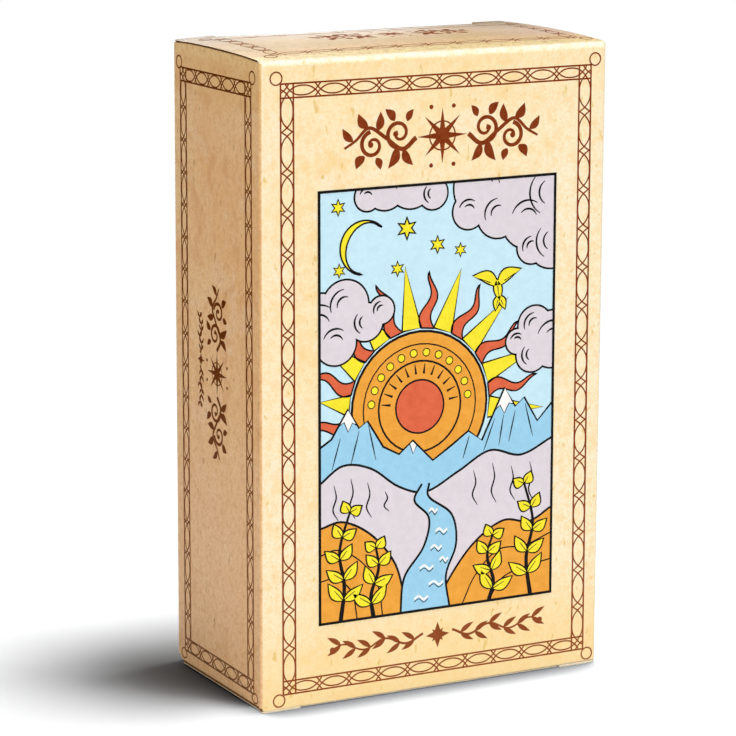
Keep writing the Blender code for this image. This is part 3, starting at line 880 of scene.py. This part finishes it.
PICTURE_LOW, PICTURE_SIZE = np.array([-24.95, 15.63]), np.array([51.0, 83.36])
PICTURE_EDGE, EDGE_FILM = 0.52, 27
OUTLINE, LAND_LINE, LEAF_LINE = 0.34, 0.45, 0.62
inks = {shade: ink(f"ink_{shade}", *details) for shade, *details in (
    ("sky_blue", (203, 236, 249), 5), ("water_blue", (158, 211, 238), 6),
    ("cloud_lilac", (226, 217, 223), 5), ("yellow", (253, 234, 40), 8), ("orange", (240, 164, 52), 8),
    ("red_orange", (224, 100, 60), 8), ("white", (252, 251, 247), 3), ("black", (14, 11, 11), 6, 0.1))}
picture = {shade: [] for shade in inks}


def draw(shade, *marks):
    """Adds marks to the picture in one colour."""
    picture[shade] += marks


def pen(path, width, level):
    """A black line in the picture."""
    draw("black", line(path, width, level))


def outlined(shade, outline, level):
    """A patch of one colour with a black outline on the next film."""
    draw(shade, patch(outline, level))
    pen(np.concatenate([outline, outline[:1]]), OUTLINE, level + 1)


def swelling(width, more, count):
    """Widths of a line that swells from thin ends by a sine."""
    return width + more * np.sin(np.linspace(0.1, 3.0, count))


def cloud(*puffs, level=9):
    """A cloud: black discs a little larger than the lilac ones over them leave one outline round them all;
    an arc inside each puff and a smaller one beside it shade it."""
    for x, y, radius in puffs:
        draw("black", disc((x, y), radius + 0.38, level))
        draw("cloud_lilac", disc((x, y), radius, level + 0.6 + 0.35 * len(picture["cloud_lilac"]) % 2.8))
    for number, (x, y, radius) in enumerate(puffs):
        for share, start, step, sweep in ((0.66, 55, 40, 105), (0.36, 20, 50, 120)):
            begin = start + step * (number % 3)
            arc = rays(np.radians(np.linspace(begin, begin + sweep, 15))) * radius * share + (x, y)
            pen(arc, swelling(0.12, 0.3, 15), level + 4)


def inked_leaf(root, tip, width, bend, level, past, rib, rib_pen):
    """A yellow leaf over a black one that reaches past its ends, with a midrib over a span of it."""
    way = (tip - root) / np.linalg.norm(tip - root)
    draw("black", leaf(root - way * past[0], tip + way * past[1], width + LEAF_LINE, bend, level))
    draw("yellow", leaf(root, tip, width, bend, level + 1))
    pen([root + (tip - root) * share for share in rib], [rib_pen, 0.12], level + 2)


def sprig(leaves, *stem, level=22):
    """A yellow sprig: a stem with leaves in pairs that shorten towards its tip, outlined in black."""
    path = curve(stem, 12)
    pen(path, np.linspace(0.95, 0.45, len(path)), level)
    run = np.gradient(path, axis=0)
    for share in np.linspace(0.22, 0.98, leaves):
        spot = int(share * (len(path) - 1))
        ahead = run[spot] / np.linalg.norm(run[spot])
        reach = 5.2 * (1 - 0.55 * share)
        for hand in (1, -1):
            c, s = rays(hand * 0.85)
            way = np.array([c * ahead[0] - s * ahead[1], s * ahead[0] + c * ahead[1]])
            root = path[spot] + way * 0.2
            inked_leaf(root, root + way * reach, 1.9, 0.35 * hand, level + 1, (0.25, 0.45), (0, 0.6), 0.22)


def bird(centre, size, level):
    """A yellow bird seen from below: two bent wings, a body and a tail."""
    for root, tip, width, bend in (
        ((0, 0), (-5.6, 2.3), 2.2, -0.9), ((0, 0), (5.4, 2.9), 2.2, 0.9),
        ((-0.2, 1.2), (0.5, -3.2), 1.7, 0.0), ((0.4, -2.2), (1.7, -4.9), 1.3, 0.2),
        ((0.3, -2.2), (-0.4, -5.0), 1.2, -0.2),
    ):
        root, tip = (np.array(spot, float) * size + centre for spot in (root, tip))
        inked_leaf(root, tip, width * size, bend * size, level, (0.3, 0.4), (0.3, 0.75), 0.2)


def land(shade, edge, rest, level, width=LAND_LINE):
    """A patch of land or water under a drawn edge, closed through the rest of its corners."""
    draw(shade, patch(np.concatenate([edge, rest]), level))
    pen(edge, width, level + 1)


wide_mm, tall_mm = PICTURE_SIZE
ground = [(wide_mm, 0), (0, 0)]
draw("sky_blue", patch([(0, 0), (wide_mm, 0), (wide_mm, tall_mm), (0, tall_mm)]))

sun = np.array([21.5, 40.5])
for number, angle in enumerate(np.radians(np.arange(-6, 187, 12.85))):
    out = rays(angle)
    aside = left_of(out)
    if number % 2:
        t = np.linspace(0, 1, 25)[:, None]
        rib = sun + out * (15.2 + 11.0 * t) + aside * 0.8 * np.sin(2.6 * np.pi * t)
        half = 1.45 * (1 - t) ** 0.8 * aside
        outlined("red_orange", np.concatenate([rib + half, (rib - half)[-2::-1]]), 3)
    else:
        flame = np.array([out * 15.2 + aside * 2.1, out * 27.5, out * 15.2 - aside * 2.1])
        outlined("yellow", sun + flame, 3)
draw("black", disc(sun, 14.9, 5))
draw("orange", disc(sun, 14.4, 6))
draw("black", ring(sun, 12.2, 0.28, 7), ring(sun, 8.9, 0.4, 7))
draw("red_orange", disc(sun, 5.2, 7))
draw("black", ring(sun, 5.2, 0.36, 8))
for out in rays(np.radians(np.arange(7.5, 187.5, 15))):
    pen([sun + out * 6.4, sun + out * 8.4], [0.5, 0.15], 7)
    draw("yellow", disc(sun + out * 10.55, 0.75, 7))
    draw("black", ring(sun + out * 10.55, 0.75, 0.2, 8))

cloud((35, 82, 6.2), (43, 84, 7), (50, 80, 7), (45, 75, 5.6), (38.5, 76.5, 4.6), (50.5, 70.5, 5.4),
      (32, 77.5, 3.4), (46.0, 69.5, 3.2))
cloud((0, 58, 6.2), (5.5, 61.5, 4.8), (9.8, 58.0, 3.6), (3.5, 54.5, 4.2), (13.2, 60.0, 2.6))
cloud((51, 51, 5.6), (46.8, 54.2, 3.6), (46.2, 48.4, 3.4), (42.9, 51.2, 2.4))
cloud((14, 83.5, 4.4), (19.5, 84, 5.0), (24.2, 81.5, 3.0), (10.2, 81.8, 2.6))

bow = rays(np.radians(np.linspace(-110, 110, 33)))
moon = np.concatenate([bow * 5.2, (bow * (3.9, 4.95) + (-0.1, 0))[-2:0:-1]])
outlined("yellow", moon @ spin(155) + (9.6, 72.2), 9)
for x, y, size in ((18.6, 75.2, 1.9), (25.2, 71.6, 1.5), (4.0, 80.2, 1.4), (16.6, 67.6, 1.3),
                   (30.2, 70.2, 1.2), (4.2, 68.2, 1.2)):
    draw("black", star((x, y), size * 1.28, size * 0.62, 6, 90, 9))
    draw("yellow", star((x, y), size * 0.92, size * 0.40, 6, 90, 10))
bird((38.4, 62.6), 0.95, 10)

peaks = np.array([
    (0, 34.5), (2.5, 36.0), (6.0, 41.5), (8.4, 37.6), (10.2, 38.8), (13.6, 33.4), (17.0, 31.6),
    (20.0, 34.0), (24.4, 29.6), (28.6, 32.2), (32.2, 34.6), (35.2, 32.4), (40.2, 42.4), (42.6, 38.4),
    (44.6, 40.0), (47.6, 35.0), (wide_mm, 38.5)])
draw("water_blue", patch(np.concatenate([peaks, ground]), 12))
pen(peaks, 0.42, 14)
for tip, left, right in (((6.0, 41.5), (4.1, 38.4), (8.0, 38.2)), ((40.2, 42.4), (38.0, 38.0), (42.3, 38.9)),
                         ((20.0, 34.0), (18.4, 32.8), (21.7, 32.3))):
    left, right = np.array(left), np.array(right)
    over = right - left
    teeth = np.array([left, left + over * 0.28 + (0, 0.7), left + over * 0.5 - (0, 1.2),
                      left + over * 0.74 + (0, 0.5), right])
    draw("white", patch(np.concatenate([[tip], teeth]), 13))
    pen(teeth, 0.24, 14)
for foot, head in (
    ((8.4, 37.0), (6.6, 30.5)), ((10.4, 38.0), (12.0, 31.0)), ((4.4, 36.0), (2.6, 30.0)),
    ((42.6, 37.6), (41.2, 31.5)), ((38.0, 36.4), (35.6, 30.2)), ((44.8, 38.8), (46.6, 32.0)),
    ((40.0, 37.0), (39.0, 31.0)), ((32.4, 33.6), (31.0, 29.2)),
):
    pen(np.linspace(head, foot, 5), [0.1, 0.22, 0.3, 0.22, 0.1], 14)

land("cloud_lilac", curve([(0, 27.5), (5, 30.6), (11, 29.4), (17, 25.2), (23, 23.6), (30, 26.8), (37, 30.2),
                           (44, 28.6), (wide_mm, 31.4)]), ground, 15)
for x, y, reach in ((3.0, 27.0, 7), (6.6, 28.0, 8), (10.2, 26.8, 7), (33.4, 26.6, 7), (37.6, 27.6, 8),
                    (41.8, 26.6, 7), (46.0, 27.0, 8), (14.0, 24.6, 4)):
    furrow = curve([(x, y), (x + 0.5, y - reach * 0.35), (x - 0.2, y - reach * 0.7), (x + 0.9, y - reach)])
    pen(furrow, swelling(0.1, 0.26, len(furrow)), 16)

land("orange", curve([(0, 18.8), (5, 19.6), (11, 16.4), (16, 10.4), (18, 4.0), (18.5, 0)]), [(0, 0)], 17)
land("orange", curve([(25.5, 0), (28.0, 5.4), (33.5, 12.0), (40.0, 15.8), (46.0, 15.0), (wide_mm, 17.4)]),
     [(wide_mm, 0)], 17)
for knots in (((0, 13.5), (4, 14.2), (9, 11.2), (12.5, 6.0), (13.5, 0)),
              ((0, 8.4), (3.4, 8.6), (6.8, 5.6), (8.0, 0)),
              ((31.0, 0), (34.0, 5.6), (39.0, 10.0), (45.0, 10.2), (wide_mm, 12.2)),
              ((37.0, 0), (40.0, 4.2), (45.0, 5.8), (wide_mm, 6.8))):
    pen(curve(knots), 0.28, 18)

left_bank = curve([(22.0, 25.2), (20.4, 22.0), (23.6, 18.2), (22.4, 12.6), (18.2, 7.0), (17.4, 0)])
right_bank = curve([(23.6, 25.2), (23.6, 22.4), (28.6, 18.4), (29.6, 12.4), (27.4, 6.4), (28.2, 0)])
draw("water_blue", patch(np.concatenate([left_bank, right_bank[::-1]]), 19))
for bank in (left_bank, right_bank):
    pen(bank, LAND_LINE, 21)
for x, y, reach in ((23.6, 19.6, 1.8), (25.0, 15.4, 2.6), (24.0, 12.2, 2.4), (21.6, 8.4, 3.0),
                    (23.6, 5.0, 3.2), (20.4, 2.4, 3.0), (26.0, 9.6, 1.8)):
    ripple = curve([(x, y), (x + reach * 0.35, y + 0.5), (x + reach * 0.7, y - 0.3), (x + reach, y + 0.3)])
    draw("white", line(ripple, 0.42, 20))
    pen(ripple - (0, 0.55), 0.18, 21)

sprig(5, (4.4, 0.0), (5.2, 7.0), (4.2, 14.0), (6.6, 22.0))
sprig(4, (11.5, 0.0), (11.0, 4.5), (12.6, 9.5), (12.0, 14.0))
sprig(5, (46.4, 0.0), (45.4, 7.6), (46.8, 15.0), (44.6, 23.4))
sprig(4, (37.0, 0.0), (38.0, 4.0), (36.6, 9.0), (37.8, 13.4))

for shade, marks in picture.items():
    kept = [mark._replace(shape=np.clip(mark.shape, 0.0, PICTURE_SIZE)) for mark in marks]
    kept = [patch(mark.shape, mark.level) if mark.kind == "patch" else mark for mark in kept]
    if shade == "black":
        past = PICTURE_EDGE / 2
        for run in ([(-past, 0), (wide_mm + past, 0)], [(-past, tall_mm), (wide_mm + past, tall_mm)],
                    [(0, 0), (0, tall_mm)], [(wide_mm, 0), (wide_mm, tall_mm)]):
            kept.append(line(run, PICTURE_EDGE, EDGE_FILM))
    ink_piece(f"picture_{shade}", moved(kept, PICTURE_LOW), front_face, inks[shade], "carton")

# The guide booklet: a folded paper cover, printed with a frame and a star, round a block of thin
# folded pages whose cut edges show as fine lines, darker lines of painted shade between the pages.
# It lies loose in the carton, in front of the cards.

CARD_PITCH, PAGE_PITCH = 0.00037, 0.00016
SHEET_MARGIN, SHEET_RULE = 0.0055, 0.0005
STAR_SIZE, INNER_STAR = 0.019, 0.012
LATTICE_TURN = 900.0
card_low, card_high = (np.array(corner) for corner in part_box("trump_card_00"))
card_middle, card_half = (card_low + card_high) / 2, (card_high - card_low) / 2


def placing(tree):
    """Sockets for a sheet in the carton: right of and above the card's middle, depth, facing along y."""
    source = add_node(tree, "TexCoord").outputs
    spot, facing = (add_node(tree, "SeparateXYZ", Vector=source[kind]).outputs
                    for kind in ("Object", "Normal"))
    across, up = (reckon(tree, "SUBTRACT", spot[axis], card_middle[axis]) for axis in (0, 2))
    return across, up, spot[1], facing[1]


def framed(tree, across, up, margin, thickness):
    """Shares of a sheet's panel inside a margin and of the rule drawn round it."""
    off = [reckon(tree, "SUBTRACT", reckon(tree, "ABSOLUTE", way), half - margin)
           for way, half in ((across, card_half[0]), (up, card_half[2]))]
    outside = reckon(tree, "MAXIMUM", *off)
    panel = reckon(tree, "LESS_THAN", outside, 0.0)
    return panel, reckon(tree, "LESS_THAN", reckon(tree, "ABSOLUTE", outside), thickness / 2)


def starry(tree, across, up, size, points):
    """1 inside a star about the middle: its radius swings with the angle, from a quarter of size to size."""
    angle = reckon(tree, "MULTIPLY", reckon(tree, "ARCTAN2", across, up), points / 2)
    swing = reckon(tree, "POWER", reckon(tree, "ABSOLUTE", reckon(tree, "COSINE", angle)), 3.0)
    limit = reckon(tree, "MULTIPLY_ADD", swing, 0.75 * size, 0.25 * size)
    squares = [reckon(tree, "POWER", way, 2.0) for way in (across, up)]
    return reckon(tree, "LESS_THAN", reckon(tree, "SQRT", reckon(tree, "ADD", *squares)), limit)


def sheet_finish(name, ground, field, rule, edge, lattice, gloss):
    """A printed sheet: on the side that faces forward a framed, clouded field with a star, on the other a
    lattice of lozenges inside a frame, and between them the cut edge with its own fibres and, at every
    card pitch, a dark line that is painted shade in the gap between stacked sheets."""
    finish = bpy.data.materials.new(name)
    tree = emptied(finish)
    across, up, depth, facing = placing(tree)
    paper = mottled(tree, ground, ((260, 4), 0.3, 0.7, 0.6, np.array(ground) - (6, 9, 18)))
    panel, outline = framed(tree, across, up, SHEET_MARGIN, SHEET_RULE)
    clouded = mottled(tree, field, ((70, 4), 0.3, 0.7, 1.0, np.array(field) * 0.82))
    front = tinted(tree, panel, paper, clouded)
    front = tinted(tree, starry(tree, across, up, STAR_SIZE, 8), front, ground)
    front = tinted(tree, starry(tree, across, up, INNER_STAR, 16), front, rule)
    front = tinted(tree, outline, front, rule)
    slant = [reckon(tree, "SINE", reckon(tree, "MULTIPLY", reckon(tree, kind, across, up), LATTICE_TURN))
             for kind in ("ADD", "SUBTRACT")]
    lozenge = between(tree, reckon(tree, "MULTIPLY", *slant), -0.08, 0.08)
    rear = tinted(tree, reckon(tree, "MULTIPLY", panel, lozenge), paper, lattice)
    rear = tinted(tree, outline, rear, lattice)
    cut = mottled(tree, edge, ((1500, 3, 0.6, (0.2, 1, 0.2)), 0.3, 0.7, 1.0, np.array(edge) - (16, 18, 22)))
    # Dark lines across the cut edge at every card pitch: painted shade in the gaps between stacked sheets.
    layer = reckon(tree, "MULTIPLY", reckon(tree, "SUBTRACT", depth, card_low[1]), 2 * np.pi / CARD_PITCH)
    gap_shade = between(tree, reckon(tree, "COSINE", layer), 0.55, 1.0, 0.0, 0.7)
    cut = tinted(tree, gap_shade, cut, np.array(edge) * 0.62)
    shown = tinted(tree, reckon(tree, "LESS_THAN", facing, -0.5), cut, front)
    shown = tinted(tree, reckon(tree, "GREATER_THAN", facing, 0.5), shown, rear)
    shaded(tree, Base_Color=shown, Roughness=between(tree, spots(tree, 900, 3), 0.3, 0.7, 0.36, 0.5),
           Specular_IOR_Level=gloss, Normal=raised(tree, spots(tree, 2600, 2), 0.000008))
    return finish


def dress(node, finish):
    """Gives a piece of the solid model its finish in every material slot."""
    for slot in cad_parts[node].material_slots:
        slot.material = finish


dress("booklet_cover", sheet_finish("paper_booklet_cover", (246, 226, 184), (196, 220, 232), (120, 54, 24),
                                    (240, 232, 214), (120, 54, 24), 0.4))
page_finish = bpy.data.materials.new("paper_booklet_pages")
tree = emptied(page_finish)
depth = placing(tree)[2]
# The pages' edges: darker lines at every page pitch, painted shade between the pages, with a matching bump.
uneven = reckon(tree, "ADD", depth, reckon(tree, "MULTIPLY", spots(tree, 60, 3), 0.0001))
leaves = reckon(tree, "SINE", reckon(tree, "MULTIPLY", uneven, 2 * np.pi / PAGE_PITCH))
shaded(tree, Base_Color=tinted(tree, between(tree, leaves, -0.9, 0.9), (206, 198, 182), (246, 243, 234)),
       Roughness=0.85, Specular_IOR_Level=0.2, Normal=raised(tree, leaves, 0.00003, 0.6))
dress("booklet_pages", page_finish)

# The cards: 78 sheets of white two-ply stock with rounded corners, printed on both sides and
# varnished, stacked loose in the carton: 22 trumps, then four suits of ten number cards and four
# court cards. Each packet of number cards is drawn here as ten separate cards.

CARD_CORNER = 0.0030


def card_finish(name, field):
    """A card with a field of its own colour and the same frame, star and back as all the others."""
    return sheet_finish(name, (250, 240, 214), field, (60, 44, 40), (246, 244, 238), (64, 92, 150), 0.45)


def card_packet(low, high, count):
    """Points and faces of equal cards in a row along y that fill the box from low to high, each a flat
    sheet whose outline is a rectangle with 3 mm quarter-circle corners."""
    angle = np.linspace(0, np.pi / 2, 9)[None, :] + np.array([0, 1, 2, 3])[:, None] * np.pi / 2
    half, middle = (high - low) / 2, (high + low) / 2
    signs = np.array([(1, 1), (-1, 1), (-1, -1), (1, -1)])[:, None]
    outline = signs * (half[[0, 2]] - CARD_CORNER) + CARD_CORNER * rays(angle)
    outline = outline.reshape(-1, 2) + middle[[0, 2]]
    thick = high[1] - low[1] - (count - 1) * CARD_PITCH
    size = len(outline)
    here = np.arange(size)
    sides = np.stack([here + size, np.roll(here, -1) + size, np.roll(here, -1), here], -1)
    points, faces = [], []
    for card in range(count):
        front = low[1] + card * CARD_PITCH
        for depth in (front, front + thick):
            points.append(np.column_stack([outline[:, 0], np.full(size, depth), outline[:, 1]]))
        first = 2 * size * card
        faces += [tuple(here + first), tuple(here[::-1] + first + size), *map(tuple, sides + first)]
    return np.concatenate(points), [tuple(int(corner) for corner in face) for face in faces]


trump_finish = card_finish("card_trumps", (172, 204, 232))
for number in range(22):
    dress(f"trump_card_{number:02d}", trump_finish)
for suit, field in (("wands", (236, 160, 128)), ("cups", (158, 200, 226)), ("swords", (206, 200, 218)),
                    ("coins", (242, 206, 104))):
    suit_finish = card_finish(f"card_{suit}", field)
    for court in ("page", "knight", "queen", "king"):
        dress(f"{suit}_{court}", suit_finish)
    node = f"{suit}_ace_to_ten"
    points, faces = card_packet(*(np.array(corner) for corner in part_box(node)), 10)
    packet = add_piece(f"{suit}_number_cards", points, faces, (suit_finish,))
    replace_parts(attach(packet, "deck"), node)

# The room: a pale floor that shows white around the box's shadow, and soft lamps and a camera out
# of the picture. Four lamps light only the box, unhindered by the floor. One overhead lights only
# the floor: for it the front and left walls and the bottom flaps cast no shadow before the deck's.
# Near the box the floor's own colour darkens and a faint glow on it fades with ambient occlusion:
# a painted shadow laid over the lamp's real one.

FLOOR_LEVEL, FLOOR_HALF = -0.00041, 4.0
SHADE_REACH, SHADE_SPAN = 0.0105, (0.18, 0.88)
WHITE_FROM, WHITE_TO = 0.14, 0.30
CAMERA_AIM, CAMERA_DISTANCE = np.array([-0.0044855, 0.0, 0.0600328]), 0.6600637
CAMERA_AZIMUTH, CAMERA_ELEVATION, CAMERA_ROLL = -27.8835, 12.1582, 0.2416


def seen_rays(tree):
    """1 for what the camera sees, straight or by mirror or glass, and 0 for light on other things."""
    path = add_node(tree, "LightPath").outputs
    bent = reckon(tree, "MAXIMUM", path["Is Glossy Ray"], path["Is Transmission Ray"])
    return reckon(tree, "MAXIMUM", path["Is Camera Ray"], bent)


floor_finish = bpy.data.materials.new("pale_floor")
tree = emptied(floor_finish)
matt = add_node(tree, "BsdfDiffuse", Color=(0.0625, 0.0625, 0.0625, 1))
# Ambient occlusion leaned towards the right and back turns the floor's colour dark and fades a faint glow
# where the box is near: a painted contact shadow.
lean = add_node(tree, "CombineXYZ", X=0.12, Y=0.46, Z=0.88)
shade = add_node(tree, "AmbientOcclusion", Distance=SHADE_REACH, Normal=lean.outputs[0])
shade.samples = 16
open_share = shade.outputs["AO"]
paper = add_node(tree, "BsdfDiffuse", Color=tinted(
    tree, between(tree, open_share, *SHADE_SPAN), (0.023, 0.025, 0.027, 1), (0.124, 0.125, 0.126, 1)))
lift = add_node(tree, "Emission", Strength=between(tree, open_share, *SHADE_SPAN, 0.0, 0.046))
white = add_node(tree, "Emission")
from_middle = add_node(tree, "VectorMath", Vector=add_node(tree, "TexCoord").outputs["Object"])
from_middle.operation = "LENGTH"
distance = from_middle.outputs["Value"]
sheet, distant, backdrop = (add_node(tree, kind) for kind in ("AddShader", "MixShader", "MixShader"))
feed(tree, sheet.inputs, (paper.outputs[0], lift.outputs[0]))
away = between(tree, distance, WHITE_FROM, WHITE_TO)
feed(tree, distant.inputs, (away, sheet.outputs[0], white.outputs[0]))
feed(tree, backdrop.inputs, (seen_rays(tree), matt.outputs[0], distant.outputs[0]))
add_node(tree, "OutputMaterial", Surface=backdrop.outputs[0])
corners = FLOOR_HALF * np.array([[-1, -1], [1, -1], [1, 1], [-1, 1]])
corners = np.column_stack([corners, np.full(4, FLOOR_LEVEL)])
floor = add_piece("floor", corners, [(0, 1, 2, 3)], (floor_finish,))

world = bpy.data.worlds.new("soft_room")
bpy.context.scene.world = world
tree = emptied(world)
glow = between(tree, seen_rays(tree), 0, 1, 0.06, 1.0)
sky = add_node(tree, "Background", Color=(1, 1, 1, 1), Strength=glow)
add_node(tree, "OutputWorld", Surface=sky.outputs[0])


def looking(azimuth, elevation):
    """Steps right, up and back of what looks at the box. Azimuth 0 is in front and grows to the right."""
    turn, rise = np.radians([azimuth, elevation])
    back = np.array([np.sin(turn) * np.cos(rise), -np.cos(turn) * np.cos(rise), np.sin(rise)])
    right = np.cross((0, 0, 1), back)
    right /= np.linalg.norm(right)
    return right, np.cross(back, right), back


def stand(name, data, *columns):
    """An object in the scene; its right, up and back steps and its place are its matrix's columns."""
    made = bpy.data.objects.new(name, data)
    made.matrix_world = Matrix(np.vstack([np.column_stack(columns), [0, 0, 0, 1]]).tolist())
    bpy.context.collection.objects.link(made)
    return made


def softbox(name, azimuth, elevation, distance, size, level):
    """A lamp that faces the box's middle, its size given across and up. Level is the brightness that it
    alone gives a white sheet facing it."""
    lamp = bpy.data.lights.new(name, "AREA")
    lamp.shape = "RECTANGLE"
    lamp.size, lamp.size_y = size
    lamp.energy = level * np.pi ** 2 * distance ** 2
    right, up, back = looking(azimuth, elevation)
    made = stand(name, lamp, right, up, back, np.array([0, 0, HEIGHT / 2]) + distance * back)
    made.visible_camera = False
    return made


object_lamps = [softbox(*lamp) for lamp in (
    ("lamp_above_right", 62, 69, 1.1, (0.45, 0.45), 0.655),
    ("lamp_front_right", 48, 22, 0.7, (0.30, 0.30), 0.19),
    ("lamp_camera_side", -36, 5, 1.2, (0.40, 0.40), 0.635),
    ("lamp_behind", 165, 8, 1.2, (0.60, 0.60), 0.48))]
floor_lamp = softbox("lamp_over_floor", 58.0, 76.5, 1.1, (0.36, 0.34), 11.0)


def linked(name, choice, *things):
    """A collection for light linking that includes or excludes some things."""
    made = bpy.data.collections.new(name)
    for number, thing in enumerate(things):
        made.objects.link(thing)
        made.collection_objects[number].light_linking.link_state = choice
    return made


floor_lamp.light_linking.receiver_collection = linked("floor_included", "INCLUDE", floor)
floor_lamp.light_linking.blocker_collection = linked("past_floor_lamp", "EXCLUDE", *(
    bpy.data.objects[name] for name in ("front_wall", "front_brown_print", "left_wall", "left_brown_print",
                                        "bottom_tuck_crease", "bottom_lid_panel", "bottom_left_dust_crease",
                                        "bottom_left_dust_panel")))
all_but_floor = linked("floor_excluded", "EXCLUDE", floor)
for lamp in object_lamps:
    lamp.light_linking.receiver_collection = lamp.light_linking.blocker_collection = all_but_floor

right, above, back = looking(CAMERA_AZIMUTH, CAMERA_ELEVATION)
tilt = np.radians(CAMERA_ROLL)
lens = bpy.data.cameras.new("camera")
lens.sensor_width, lens.lens = 36.0, 165.13
lens.clip_start, lens.clip_end = 0.01, 20.0
camera = stand("camera", lens, np.cos(tilt) * right + np.sin(tilt) * above,
               np.cos(tilt) * above - np.sin(tilt) * right, back, CAMERA_AIM + CAMERA_DISTANCE * back)
bpy.context.scene.camera = camera
bpy.context.scene.view_settings.view_transform = "Standard"
